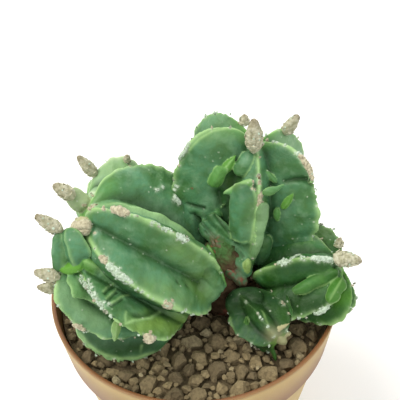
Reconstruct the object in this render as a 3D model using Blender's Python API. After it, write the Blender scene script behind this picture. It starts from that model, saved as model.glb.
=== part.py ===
"""A potted bishop's cap cactus: a clump of five-ribbed stems on a corky base, in a round plastic pot.

Metres, +Z up. The origin is the centre of the pot's flat underside, and -Y is the side that is looked at.
Every stem is one closed body. Its surface runs from a base pole to a crown pole, and at each step along
that way its section is a star: sharp crests at the ribs, valleys between them, and low folds in the valleys.
"""

import math
import random

import bmesh
import bpy
from mathutils import Matrix, Vector, noise
from mathutils.bvhtree import BVHTree

MM = 0.001
GAP = 0.35 * MM  # clear space between pieces that touch

# Pot: a thin moulded pot with a deep collar.
POT_HEIGHT = 78.0 * MM
POT_RIM_RADIUS = 45.5 * MM
POT_WALL = 1.4 * MM
COLLAR_HEIGHT = 16.0 * MM
COLLAR_TAPER = math.radians(7.0)
COLLAR_STEP = 1.6 * MM
POT_FOOT_RADIUS = 31.5 * MM
POT_FLOOR = 2.0 * MM
POT_SIDES = 40
DRAIN_HOLES = 6
DRAIN_RADIUS = 3.2 * MM
DRAIN_CIRCLE = 19.0 * MM

# Soil and gravel: the soil ends inside the collar, and pebbles stand out of a thin bed over it.
SOIL_TOP = 67.5 * MM
BED_TOP = 71.5 * MM
PEBBLE_COUNT = 112
PEBBLE_RADIUS = (2.6 * MM, 4.4 * MM)
PEBBLE_SPREAD = 0.9  # share of two pebbles' radii that parts their centres
PEBBLE_SEED = 11

# Corky base: the old foot of the clump, as (height, radius) in mm up from the root's tip in the soil.
TRUNK_CENTRE = Vector((9.0, -3.0, 0.0)) * MM
TRUNK_OUTLINE = ((34, 1.2), (44, 2.6), (54, 4.0), (63, 5.6), (69, 7.0), (73, 7.8), (76, 8.2), (79, 8.4),
                 (82, 8.5), (85, 8.3), (88, 7.9), (91, 7.0), (93, 5.0))
TRUNK_SIDES = 20
FURROW_DEPTH = 0.16  # share of the radius
LEDGE_DEPTH = 0.035  # share of the radius that every second ring stands out
ROOT_HOLE = 9.6 * MM  # radius of the plain hole that the root stands in
ROOT_HOLE_FLOOR = 30.0 * MM

# A rib is (angle, reach, lift, sag): its angle about the stem's axis in degrees from the stem's front, how far
# its crest stands from the axis, how far it rises past the crown and how far it hangs past the base, in mm.
# A fold is (angle, reach, from, to): a low crest in a valley, with its stretch as shares of the way up.
# Fullness squares a crest's outline off as it falls, and skew moves its widest place towards the base.
STEMS = {
    "stem_top": {
        "base": (15.5, 8.0, 80.0), "crown": (20.0, 16.0, 119.5), "front": (0.0, -1.0, 0.0),
        "core": 10.5, "fullness": 0.78, "skew": 0.97, "bulge": 0.08, "rows": 20,
        "ribs": [(3, 17.5, 0.5, 2), (55, 23.5, 5.5, 3), (124, 23, 6, 2), (225, 24, 13, 2), (279, 24.5, 12, 3)],
        "folds": [(24, 14, 0.3, 0.75), (92, 14, 0.3, 0.8), (175, 14, 0.3, 0.8), (252, 14, 0.3, 0.8),
                  (325, 16, 0.3, 0.8)],
    },
    "stem_left": {
        "base": (2.5, -5.5, 82.0), "crown": (-30.5, -5.0, 111.5), "front": (0.0, -0.743, 0.669),
        "core": 11.5, "fullness": 0.7, "skew": 1.02, "bulge": 0.08, "rows": 20,
        "ribs": [(33, 19.5, 5, 2.5), (106, 24.5, 1.5, 0), (172, 21, 3, 2), (250, 19, 2, 2), (345, 24, 2.5, 4)],
        "folds": [(6, 13.5, 0.2, 0.6), (68, 13, 0.3, 0.8), (138, 13, 0.3, 0.8), (210, 13, 0.3, 0.8)],
    },
    "stem_front": {
        "base": (-4.0, -19.0, 81.5), "crown": (-33.5, -13.0, 103.0), "front": (0.0, -0.743, 0.669),
        "core": 10.0, "fullness": 0.78, "skew": 1.04, "bulge": 0.08, "rows": 16,
        "ribs": [(75, 15, 9, 1), (208, 17, 9, 1), (258, 21.5, 5, 2.5), (298, 17, 6, -1), (344, 22, -3, 2)],
        "folds": [(20, 15, 0.3, 0.8), (322, 14, 0.3, 0.8)],
    },
    "stem_rear": {
        "base": (0.0, 12.0, 85.0), "crown": (-32.0, 16.0, 101.5), "front": (0.0, -0.743, 0.669),
        "core": 9.0, "fullness": 0.74, "skew": 1.2, "bulge": 0.08, "rows": 14,
        "ribs": [(15, 14, 2, 1), (88, 17, 4, 1), (150, 18, 3, 1), (225, 16, 3, 1), (300, 14, 2, 1)],
        "folds": [(120, 11, 0.3, 0.8), (188, 11, 0.3, 0.8)],
    },
    "stem_right": {
        "base": (22.0, -6.0, 81.0), "crown": (44.0, -10.5, 92.0), "front": (0.0, -0.743, 0.669),
        "core": 7.2, "fullness": 0.76, "skew": 1.01, "bulge": 0.09, "rows": 18,
        "ribs": [(32, 18, 3.5, 1.5), (88, 14, 6, -0.5), (176, 14.5, 5, 1), (249, 14.5, 6.5, 0.5),
                 (328, 15, 2.5, 1)],
        "folds": [(358, 13, 0.2, 0.85), (60, 10, 0.2, 0.8), (212, 10, 0.3, 0.8)],
    },
    "stem_small": {
        "base": (14.5, -12.0, 81.0), "crown": (23.0, -27.5, 81.0), "front": (0.0, -0.3, 0.95),
        "core": 4.5, "fullness": 0.75, "skew": 1.0, "bulge": 0.1, "rows": 12,
        "ribs": [(10, 9, 1, 1), (75, 9, 1, 1), (150, 8.5, 1, 1), (215, 8.5, 1, 1), (292, 9, 1, 1)],
        "folds": [],
    },
}
DIVIDED = {"stem_left": ("stem_left", "stem_front")}  # a stem that has divided has two crowns
CUT_ORDER = ("stem_top", "stem_left", "stem_right", "stem_small", "stem_rear")
CREST_STEPS = 3  # faces across a rib's flank
FOLD_STEPS = 2  # faces across a fold's flank
AREOLE_HEIGHT = 0.6 * MM
AREOLE_ROWS = 2  # a woolly areole stands on every second row of a crest

# A bud is the dried, scaly end of a flower: (stem, rib, share of the way up, length, radius, direction).
# A mound of crown wool is written the same way.
BUDS = [
    ("stem_top", 0, 0.93, 12.5, 3.0, (-0.1, 0.1, 1.0)),
    ("stem_top", 2, 0.82, 9.0, 2.2, (0.45, 0.3, 1.0)),
    ("stem_top", 3, 0.94, 4.0, 2.0, (-0.1, 0.3, 1.0)),
    ("stem_left", 2, 0.88, 7.5, 2.3, (-1.0, 0.35, 0.75)),
    ("stem_left", 0, 0.96, 3.0, 3.4, (-0.7, -0.4, 0.7)),
    ("stem_rear", 1, 0.90, 7.5, 2.2, (-0.8, 0.3, 0.9)),
    ("stem_rear", 1, 0.68, 5.0, 2.0, (-0.1, 0.4, 1.0)),
    ("stem_front", 0, 0.88, 9.5, 2.9, (-1.0, -0.1, 0.5)),
    ("stem_front", 2, 0.94, 7.5, 2.4, (-1.0, -0.3, -0.15)),
    ("stem_front", 3, 0.85, 6.5, 2.4, (-1.0, -0.4, -0.4)),
    ("stem_right", 4, 0.90, 8.0, 2.1, (1.0, 0.1, 0.15)),
]
BUD_SIDES = 8
BUD_OUTLINE = ((-0.2, 0.55), (0.06, 0.80), (0.22, 1.0), (0.42, 0.97), (0.62, 0.76), (0.82, 0.44))
BUD_SCALE = 0.10  # how far the scales stand in and out, as a share of the radius

COLOURS = {
    "pot": (0.55, 0.27, 0.14, 0.55),
    "soil": (0.09, 0.06, 0.04, 0.95),
    "gravel": (0.22, 0.17, 0.13, 0.9),
    "cork": (0.20, 0.12, 0.07, 0.9),
    "skin": (0.10, 0.27, 0.11, 0.45),
}


def clear_scene():
    for obj in list(bpy.data.objects):
        bpy.data.objects.remove(obj)


def material(name):
    found = bpy.data.materials.get(name)
    if found:
        return found
    made = bpy.data.materials.new(name)
    made.use_nodes = True
    shader = made.node_tree.nodes["Principled BSDF"]
    red, green, blue, roughness = COLOURS[name]
    shader.inputs["Base Color"].default_value = (red, green, blue, 1.0)
    shader.inputs["Roughness"].default_value = roughness
    shader.inputs["Metallic"].default_value = 0.0
    return made


def object_from(name, bm, finish, sharp=40.0):
    mesh = bpy.data.meshes.new(name)
    bm.to_mesh(mesh)
    bm.free()
    mesh.shade_smooth()
    mesh.set_sharp_from_angle(angle=math.radians(sharp))
    mesh.materials.append(material(finish))
    obj = bpy.data.objects.new(name, mesh)
    bpy.context.scene.collection.objects.link(obj)
    return obj


def apply_modifiers(obj):
    bpy.context.view_layer.update()
    graph = bpy.context.evaluated_depsgraph_get()
    mesh = bpy.data.meshes.new_from_object(obj.evaluated_get(graph))
    obj.modifiers.clear()
    obj.data = mesh


def boolean(obj, other, operation, solver="EXACT"):
    modifier = obj.modifiers.new(operation.lower(), "BOOLEAN")
    modifier.operation = operation
    modifier.solver = solver
    modifier.object = other
    apply_modifiers(obj)


def keep_largest_body(obj):
    """Drops the loose scraps that a cut leaves."""
    bm = bmesh.new()
    bm.from_mesh(obj.data)
    bodies, left = [], set(bm.verts)
    while left:
        seed = left.pop()
        body, edge = {seed}, [seed]
        while edge:
            for link in edge.pop().link_edges:
                for vert in link.verts:
                    if vert in left:
                        left.remove(vert)
                        body.add(vert)
                        edge.append(vert)
        bodies.append(body)
    bodies.sort(key=len)
    for body in bodies[:-1]:
        bmesh.ops.delete(bm, geom=list(body), context="VERTS")
    bm.to_mesh(obj.data)
    bm.free()


def revolved(name, profile, finish, sharp=30.0):
    """A solid turned about the Z axis from (radius, height) points that run down its outer side."""
    bm = bmesh.new()
    points = [bm.verts.new((radius, 0.0, height)) for radius, height in profile]
    for start, end in zip(points, points[1:]):
        bm.edges.new((start, end))
    obj = object_from(name, bm, finish)
    screw = obj.modifiers.new("turn", "SCREW")
    screw.steps = POT_SIDES
    screw.render_steps = POT_SIDES
    screw.use_merge_vertices = True
    screw.merge_threshold = 0.00002
    apply_modifiers(obj)
    obj.data.shade_smooth()
    obj.data.set_sharp_from_angle(angle=math.radians(sharp))
    return obj


def cylinder(radius, low, high, x=0.0, y=0.0, sides=24):
    bm = bmesh.new()
    place = Matrix.Translation((x, y, (low + high) / 2))
    bmesh.ops.create_cone(
        bm, cap_ends=True, segments=sides, radius1=radius, radius2=radius, depth=high - low, matrix=place
    )
    return object_from("cutter", bm, "soil")


def axes_of(stem):
    """The stem's base, length and directions: front, side and axis."""
    base, crown = Vector(stem["base"]) * MM, Vector(stem["crown"]) * MM
    axis = (crown - base).normalized()
    front = Vector(stem["front"])
    front = (front - axis * front.dot(axis)).normalized()
    return base, (crown - base).length, front, axis.cross(front), axis


def outline(stem, reach, lift, sag, turn):
    """Radius and height of a crest or valley at an angle from 0 at the base pole to pi at the crown pole."""
    length = axes_of(stem)[1]
    skewed = math.pi * (turn / math.pi) ** stem["skew"]
    radius = reach * MM * max(math.sin(skewed), 0.0) ** stem["fullness"]
    sine, up = math.sqrt(max(math.sin(turn), 0.0)), (1 - math.cos(turn)) / 2
    return radius, length * up + lift * MM * sine * up - sag * MM * sine * (1 - up)


def window(share, start, end):
    """A smooth hump between two shares of the way up."""
    if not start < share < end:
        return 0.0
    return math.sin(math.pi * (share - start) / (end - start)) ** 0.7


def crests_of(stem):
    """Ribs and folds in their order round the stem."""
    ribs = [("rib", *rib) for rib in stem["ribs"]]
    folds = [("fold", *fold) for fold in stem["folds"]]
    return sorted(ribs + folds, key=lambda crest: crest[1] % 360)


def valley_outline(stem, turn):
    return outline(stem, stem["core"], 1.0, 1.0, turn)


def crest_outline(stem, crest, turn):
    if crest[0] == "rib":
        return outline(stem, crest[2], crest[3], crest[4], turn)
    low = valley_outline(stem, turn)
    high = outline(stem, crest[2], 3.0, 2.0, turn)
    hump = window(turn / math.pi, crest[3], crest[4])
    return tuple(a + (b - a) * hump for a, b in zip(low, high))


def stem_point(stem, angle, radius, height):
    base, _, front, side, axis = axes_of(stem)
    out = front * math.cos(angle) + side * math.sin(angle)
    return base + out * radius + axis * height


def section(stem, turn, row):
    """The points round the stem at one step of the way up."""
    _, _, front, side, axis = axes_of(stem)
    crests = crests_of(stem)
    points = []
    for index, crest in enumerate(crests):
        following = crests[(index + 1) % len(crests)]
        gap = math.radians((following[1] - crest[1]) % 360)
        valley = stem_point(stem, math.radians(crest[1]) + gap / 2, *valley_outline(stem, turn))
        for one, way in ((crest, 1), (following, -1)):
            own = math.radians(one[1])
            out = front * math.cos(own) + side * math.sin(own)
            radius, height = crest_outline(stem, one, turn)
            top = stem_point(stem, own, radius, height)
            steps = CREST_STEPS if one[0] == "rib" else FOLD_STEPS
            away = axis.cross(out) * way
            swell = (top - valley).length * stem["bulge"]
            raised = one[0] == "rib" and (row + index) % AREOLE_ROWS == 0
            for step in range(steps) if way > 0 else range(steps, 0, -1):
                share = step / steps
                point = top.lerp(valley, share) + away * swell * 4 * share * (1 - share)
                if raised and step == 0:
                    point += out * AREOLE_HEIGHT * math.sin(turn)
                points.append(point)
    return points


def stem_mesh(stem, grow=0.0):
    """Rings of points from the base pole to the crown pole, bridged by faces."""
    rows = stem["rows"]
    bm = bmesh.new()
    rings = []
    for row in range(1, rows):
        rings.append([bm.verts.new(point) for point in section(stem, math.pi * row / rows, row)])
    count = len(rings[0])
    base, length, _, _, axis = axes_of(stem)
    poles = [bm.verts.new(base), bm.verts.new(base + axis * length)]
    for column in range(count):
        beside = (column + 1) % count
        for lower, upper in zip(rings, rings[1:]):
            bm.faces.new((lower[column], lower[beside], upper[beside], upper[column]))
        bm.faces.new((poles[0], rings[0][beside], rings[0][column]))
        bm.faces.new((poles[1], rings[-1][column], rings[-1][beside]))
    bmesh.ops.recalc_face_normals(bm, faces=bm.faces)
    bmesh.ops.triangulate(bm, faces=bm.faces)
    bm.normal_update()
    if grow:
        moved = [(vert, vert.co + vert.normal * grow) for vert in bm.verts]
        for vert, place in moved:
            vert.co = place
    return bm


def stem_body(name, grow=0.0):
    """A head, with the second crown of one that has divided."""
    parts = [object_from(name, stem_mesh(STEMS[part], grow), "skin") for part in DIVIDED.get(name, (name,))]
    for part in parts[1:]:
        boolean(parts[0], part, "UNION")
        bpy.data.objects.remove(part)
    return parts[0]


def bud(stem, rib, share, length, radius, direction):
    """A closed body of rings, with its root sunk into the crest that it stands on."""
    turn = math.pi * share
    crest = ("rib", *stem["ribs"][rib])
    foot = stem_point(stem, math.radians(crest[1]), *crest_outline(stem, crest, turn))
    axis = Vector(direction).normalized()
    across = axis.orthogonal().normalized()
    beside = axis.cross(across)
    bm = bmesh.new()
    rings = []
    for ring, (along, width) in enumerate(BUD_OUTLINE):
        points = []
        for side in range(BUD_SIDES):
            angle = 2 * math.pi * (side + 0.5 * (ring % 2)) / BUD_SIDES
            scale = 1 + BUD_SCALE * (1 if (side + ring) % 2 else -1)
            out = (across * math.cos(angle) + beside * math.sin(angle)) * width * scale
            points.append(bm.verts.new(foot + (axis * along * length + out * radius) * MM))
        rings.append(points)
    bm.faces.new(list(reversed(rings[0])))
    tip = bm.verts.new(foot + axis * length * MM)
    for side in range(BUD_SIDES):
        after = (side + 1) % BUD_SIDES
        for lower, upper in zip(rings, rings[1:]):
            bm.faces.new((lower[side], lower[after], upper[after], upper[side]))
        bm.faces.new((rings[-1][side], rings[-1][after], tip))
    bmesh.ops.recalc_face_normals(bm, faces=bm.faces)
    bmesh.ops.triangulate(bm, faces=bm.faces)
    return object_from("bud", bm, "skin")


def join(obj, others, solver="EXACT"):
    """Fuses small bodies into the one that they are sunk into."""
    group = bpy.data.collections.new("others")
    bpy.context.scene.collection.children.link(group)
    for other in others:
        bpy.context.scene.collection.objects.unlink(other)
        group.objects.link(other)
    modifier = obj.modifiers.new("join", "BOOLEAN")
    modifier.operation = "UNION"
    modifier.solver = solver
    modifier.operand_type = "COLLECTION"
    modifier.collection = group
    apply_modifiers(obj)
    for other in others:
        bpy.data.objects.remove(other)
    bpy.data.collections.remove(group)


def corky_base(grow=0.0):
    """The woody foot, furrowed all round, that narrows to a root in the soil."""
    bm = bmesh.new()
    rings = []
    for row, (height, width) in enumerate(TRUNK_OUTLINE):
        points = []
        for side in range(TRUNK_SIDES):
            angle = 2 * math.pi * side / TRUNK_SIDES
            out = Vector((math.cos(angle), math.sin(angle), 0.0))
            furrow = noise.noise(out * 2.6 + Vector((0.0, 0.0, height * 0.22))) * FURROW_DEPTH
            ledge = LEDGE_DEPTH if row % 2 else -LEDGE_DEPTH
            radius = width * (1 + furrow + ledge) * MM + grow
            points.append(bm.verts.new(TRUNK_CENTRE + out * radius + Vector((0.0, 0.0, height * MM))))
        rings.append(points)
    ends = []
    for (height, _), way in ((TRUNK_OUTLINE[0], -1), (TRUNK_OUTLINE[-1], 1)):
        ends.append(bm.verts.new(TRUNK_CENTRE + Vector((0.0, 0.0, height * MM + way * (MM + grow)))))
    for side in range(TRUNK_SIDES):
        after = (side + 1) % TRUNK_SIDES
        for lower, upper in zip(rings, rings[1:]):
            bm.faces.new((lower[side], lower[after], upper[after], upper[side]))
        bm.faces.new((rings[0][after], rings[0][side], ends[0]))
        bm.faces.new((rings[-1][side], rings[-1][after], ends[1]))
    bmesh.ops.recalc_face_normals(bm, faces=bm.faces)
    bmesh.ops.triangulate(bm, faces=bm.faces)
    return object_from("corky_base", bm, "cork")


def wall_radius(height):
    """Radius of the pot's outer side at a height."""
    collar_foot = POT_HEIGHT - COLLAR_HEIGHT
    if height >= collar_foot:
        return POT_RIM_RADIUS - (POT_HEIGHT - height) * math.tan(COLLAR_TAPER)
    top = POT_RIM_RADIUS - COLLAR_HEIGHT * math.tan(COLLAR_TAPER) - COLLAR_STEP
    return POT_FOOT_RADIUS + (top - POT_FOOT_RADIUS) * height / collar_foot


def pot():
    foot, lip = POT_HEIGHT - COLLAR_HEIGHT, 0.35 * MM
    step = foot - COLLAR_STEP
    inside = [
        (0.0, POT_FLOOR), (wall_radius(POT_FLOOR) - POT_WALL, POT_FLOOR),
        (wall_radius(step) - POT_WALL, step), (wall_radius(foot) - POT_WALL, foot),
        (POT_RIM_RADIUS - POT_WALL, POT_HEIGHT - lip), (POT_RIM_RADIUS - POT_WALL + lip, POT_HEIGHT),
    ]
    outside = [
        (POT_RIM_RADIUS - lip, POT_HEIGHT), (POT_RIM_RADIUS, POT_HEIGHT - lip), (wall_radius(foot), foot),
        (wall_radius(step), step), (POT_FOOT_RADIUS + lip, lip * 2), (POT_FOOT_RADIUS, 0.0), (0.0, 0.0),
    ]
    body = revolved("pot", inside + outside, "pot")
    for index in range(DRAIN_HOLES):
        angle = 2 * math.pi * (index + 0.5) / DRAIN_HOLES
        x, y = DRAIN_CIRCLE * math.cos(angle), DRAIN_CIRCLE * math.sin(angle)
        hole = cylinder(DRAIN_RADIUS, -POT_FLOOR, POT_FLOOR * 2, x, y, 16)
        boolean(body, hole, "DIFFERENCE")
        bpy.data.objects.remove(hole)
    return body


def inner_radius(height):
    """Radius of a filling that stays clear of the pot's inside."""
    return wall_radius(height) - POT_WALL - GAP


def root_hole(body, low, high):
    hole = cylinder(ROOT_HOLE, low, high, TRUNK_CENTRE.x, TRUNK_CENTRE.y)
    boolean(body, hole, "DIFFERENCE")
    bpy.data.objects.remove(hole)


def soil():
    foot, low = POT_HEIGHT - COLLAR_HEIGHT, POT_FLOOR + GAP
    step = foot - COLLAR_STEP
    heights = (SOIL_TOP, foot, step, low)
    outline_points = [(inner_radius(height), height) for height in heights]
    body = revolved("soil", [(0.0, SOIL_TOP), *outline_points, (0.0, low)], "soil")
    root_hole(body, ROOT_HOLE_FLOOR, SOIL_TOP + MM)
    return body


def pebble(place, radius, chance):
    """An angular stone: a turned, squashed and dented twenty-sided lump."""
    bm = bmesh.new()
    bmesh.ops.create_icosphere(bm, subdivisions=1, radius=radius)
    squash = Vector((chance.uniform(0.85, 1.0), chance.uniform(0.75, 1.0), chance.uniform(0.6, 0.8)))
    tilt = Matrix.Rotation(chance.uniform(-0.5, 0.5), 3, "X")
    turn = Matrix.Rotation(chance.uniform(0, math.tau), 3, "Z") @ tilt
    for vert in bm.verts:
        vert.co = turn @ (vert.co * squash * chance.uniform(0.84, 1.0)) + place
    return object_from("pebble", bm, "gravel")


def gravel(stems):
    """A thin bed with a hole for the corky base, and stones that stand out of it clear of the stems."""
    low = SOIL_TOP + GAP
    bed = revolved("gravel", [
        (0.0, BED_TOP), (inner_radius(BED_TOP), BED_TOP), (inner_radius(low), low), (0.0, low),
    ], "gravel")
    root_hole(bed, low - MM, BED_TOP + MM)
    chance = random.Random(PEBBLE_SEED)
    trees = [BVHTree.FromObject(stem, bpy.context.evaluated_depsgraph_get()) for stem in stems]
    placed, stones = [], []
    for _ in range(PEBBLE_COUNT * 60):
        if len(placed) == PEBBLE_COUNT:
            break
        radius = chance.uniform(*PEBBLE_RADIUS)
        away = (inner_radius(BED_TOP) - radius - 0.3 * MM) * math.sqrt(chance.random())
        angle = chance.uniform(0, math.tau)
        place = Vector((away * math.cos(angle), away * math.sin(angle), BED_TOP + radius * 0.2))
        if (place - TRUNK_CENTRE).xy.length < ROOT_HOLE + radius:
            continue
        if any((place - other).xy.length < (radius + size) * PEBBLE_SPREAD for other, size in placed):
            continue
        if any(tree.find_nearest(place, radius + GAP)[0] for tree in trees):
            continue
        placed.append((place, radius))
        stones.append(pebble(place, radius, chance))
    join(bed, stones)
    return bed


def main():
    clear_scene()
    pot()
    soil()
    corky_base()
    stems, cutters = [], [corky_base(GAP)]
    for name in CUT_ORDER:
        stem = stem_body(name)
        for cutter in cutters:
            boolean(stem, cutter, "DIFFERENCE")
        keep_largest_body(stem)
        stems.append(stem)
        cutters.append(stem_body(name, GAP))
    for cutter in cutters:
        bpy.data.objects.remove(cutter)
    for stem in stems:
        owners = DIVIDED.get(stem.name, (stem.name,))
        join(stem, [bud(STEMS[row[0]], *row[1:]) for row in BUDS if row[0] in owners])
    gravel(stems)


main()
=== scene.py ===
# The looks of the potted bishop's cap cactus: skin, wool, dried buds, cork, stones and pot.
import bpy
import bmesh
import math
import random
from mathutils import Matrix, Vector, noise
from mathutils.bvhtree import BVHTree
from mathutils.interpolate import poly_3d_calc
from mathutils.kdtree import KDTree


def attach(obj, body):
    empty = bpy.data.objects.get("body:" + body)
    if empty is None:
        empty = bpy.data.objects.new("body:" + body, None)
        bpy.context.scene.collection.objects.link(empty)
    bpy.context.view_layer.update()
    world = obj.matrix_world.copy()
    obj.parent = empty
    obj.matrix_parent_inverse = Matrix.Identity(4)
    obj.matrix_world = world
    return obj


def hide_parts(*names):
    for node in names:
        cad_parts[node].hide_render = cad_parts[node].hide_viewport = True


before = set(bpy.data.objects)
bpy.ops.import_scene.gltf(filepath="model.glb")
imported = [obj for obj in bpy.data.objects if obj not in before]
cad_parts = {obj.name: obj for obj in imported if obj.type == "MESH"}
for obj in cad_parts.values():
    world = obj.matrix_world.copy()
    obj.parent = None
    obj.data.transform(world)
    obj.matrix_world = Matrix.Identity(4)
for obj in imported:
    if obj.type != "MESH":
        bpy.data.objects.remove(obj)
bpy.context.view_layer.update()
mm = 0.001
scene = bpy.context.scene


def deselectAll():
    if bpy.context.object and bpy.context.object.mode != "OBJECT":
        bpy.ops.object.mode_set(mode="OBJECT")
    bpy.ops.object.select_all(action="DESELECT")


def selectOnly(*objects):
    deselectAll()
    for item in objects:
        item.select_set(True)
    bpy.context.view_layer.objects.active = objects[0]


def applyModifiers(piece):
    selectOnly(piece)
    for modifier in list(piece.modifiers):
        bpy.ops.object.modifier_apply(modifier=modifier.name)


def faceOutwards(piece):
    selectOnly(piece)
    bpy.ops.object.mode_set(mode="EDIT")
    bpy.ops.mesh.select_all(action="SELECT")
    bpy.ops.mesh.normals_make_consistent(inside=False)
    bpy.ops.object.mode_set(mode="OBJECT")


def setValues(piece, label, values):
    # one number at each point of a piece, for its material to read
    attributes = piece.data.attributes
    if label in attributes:
        attributes.remove(attributes[label])
    attributes.new(label, "FLOAT", "POINT").data.foreach_set("value", values)


def anyWay(chance):
    # a random step, as likely one way as another
    return Vector((chance.gauss(0, 1), chance.gauss(0, 1), chance.gauss(0, 1)))


def joinAll(name, parts):
    # one mesh at the origin, unturned and unscaled
    selectOnly(*parts)
    bpy.ops.object.transform_apply(location=True, rotation=True, scale=True)
    if len(parts) > 1:
        bpy.ops.object.join()
    piece = bpy.context.object
    piece.name = name
    piece.data.name = name
    return piece


def copyOf(part, place):
    # a copy with its own mesh
    twin = part.copy()
    twin.data = part.data.copy()
    twin.matrix_world = place
    scene.collection.objects.link(twin)
    return twin


def turnedForm(name, rings, sides, centre=(0, 0)):
    # a round solid drawn up ring by ring, from (radius, height) pairs in mm
    deselectAll()
    x, y = centre[0] * mm, centre[1] * mm
    radius, height = rings[0]
    bpy.ops.mesh.primitive_circle_add(
        vertices=sides, radius=radius * mm, fill_type="NGON", location=(x, y, height * mm))
    piece = bpy.context.object
    bpy.ops.object.mode_set(mode="EDIT")
    bpy.ops.mesh.select_all(action="SELECT")
    for (radius, height), (wider, higher) in zip(rings, rings[1:]):
        bpy.ops.mesh.extrude_region_move(TRANSFORM_OT_translate={"value": (0, 0, (higher - height) * mm)})
        share = wider / radius
        bpy.ops.transform.resize(value=(share, share, 1), center_override=(x, y, higher * mm))
    faceOutwards(piece)
    return joinAll(name, [piece])


def dress(piece, material, slotName, *nodes):
    piece.data.materials.clear()
    piece.data.materials.append(material)
    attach(piece, "root")
    if nodes:
        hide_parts(*nodes)
    return piece


# Materials

def hexColour(text):
    # sRGB hex to linear RGBA
    parts = [int(text[place:place + 2], 16) / 255 for place in (1, 3, 5)]
    linear = [part / 12.92 if part <= 0.04045 else ((part + 0.055) / 1.055) ** 2.4 for part in parts]
    return (*linear, 1.0)


def addNode(tree, kind, output, settings):
    # one node with its settings and links: an input takes a value, a hex colour or another node's output
    node = tree.nodes.new(kind)
    for key, value in settings.items():
        if isinstance(key, str) and hasattr(node, key):
            setattr(node, key, value)
        elif isinstance(value, bpy.types.NodeSocket):
            tree.links.new(value, node.inputs[key])
        else:
            node.inputs[key].default_value = hexColour(value) if isinstance(value, str) else value
    return node.outputs[output]


def newMaterial(name, settings, patterns=(), labels=()):
    # what is set on the shader, then the outputs of patterns (kind, size in mm, settings) and of attributes
    material = bpy.data.materials.new(name)
    material.use_nodes = True
    tree = material.node_tree
    for key, value in settings.items():
        tree.nodes["Principled BSDF"].inputs[key].default_value = value
    coords = addNode(tree, "ShaderNodeTexCoord", "Object", {})
    outputs = [addNode(tree, "ShaderNodeTex" + kind, 0, {"Vector": coords, "Scale": 1 / (size * mm), **more})
               for kind, size, more in patterns]
    outputs += [addNode(tree, "ShaderNodeAttribute", "Fac", {"attribute_name": label}) for label in labels]
    return material, tree, *outputs


def paintLayers(tree, colour, layers):
    # (value, low, high, most, over): a layer covers the colour as its value goes from low to high
    for value, low, high, most, over in layers:
        share = addNode(tree, "ShaderNodeMapRange", 0, {"clamp": True, 0: value, 1: low, 2: high, 4: most})
        colour = addNode(tree, "ShaderNodeMix", 2, {"data_type": "RGBA", 0: share, 6: colour, 7: over})
    return colour


def finishMaterial(material, colour, *reliefs):
    # the colour and the reliefs, each (height, depth in mm, strength), go into the shader
    tree = material.node_tree
    shader = tree.nodes["Principled BSDF"]
    tree.links.new(colour, shader.inputs["Base Color"])
    under = {}
    for height, depth, strength in reliefs:
        settings = {"Height": height, "Distance": depth * mm, "Strength": strength, **under}
        under = {"Normal": addNode(tree, "ShaderNodeBump", "Normal", settings)}
    for key, normal in under.items():
        tree.links.new(normal, shader.inputs[key])
    return material


skinLooks = {
    "waxySkin": {
        "flank": "#3f6d3b", "flankBlue": "#52855e", "flankWarm": "#4b6e33", "deep": "#24451d",
        "crest": "#98c07c", "young": "#5f9a2e", "scurf": "#c9d6bd", "scar": "#7c4634", "corky": "#614d3a",
        "dry": "#b3ad84", "pale": "#8db483", "warm": "#6f913f", "bloom": "#7aa581", "gloss": 0.42,
        "bloomMm": 3.6, "mottleMm": 9.0, "grainMm": 0.9, "fleckMm": 2.6,
    },
    # the other heads' skins are told by what differs: a paler copy for the rear head, and darker copies
    # painting shade onto the right and small heads
    "paleSkin": {"flank": "#7aa069", "flankBlue": "#8bad7f", "flankWarm": "#86a868", "crest": "#b9cfa2"},
    # a darker copy: painted shade for the right head
    "shadeSkin": {
        "flank": "#2e5c22", "flankBlue": "#356638", "flankWarm": "#3d6722", "gloss": 0.3,
        "bloom": "#5e8a58", "deep": "#1e3b17", "crest": "#84a966",
    },
    # a darker copy: painted shade for the small low head
    "deepSkin": {
        "flank": "#2c5222", "flankBlue": "#2f5434", "flankWarm": "#3c6124", "gloss": 0.28,
        "bloom": "#436b40", "deep": "#172c16", "crest": "#7d9f60",
    },
}


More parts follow.
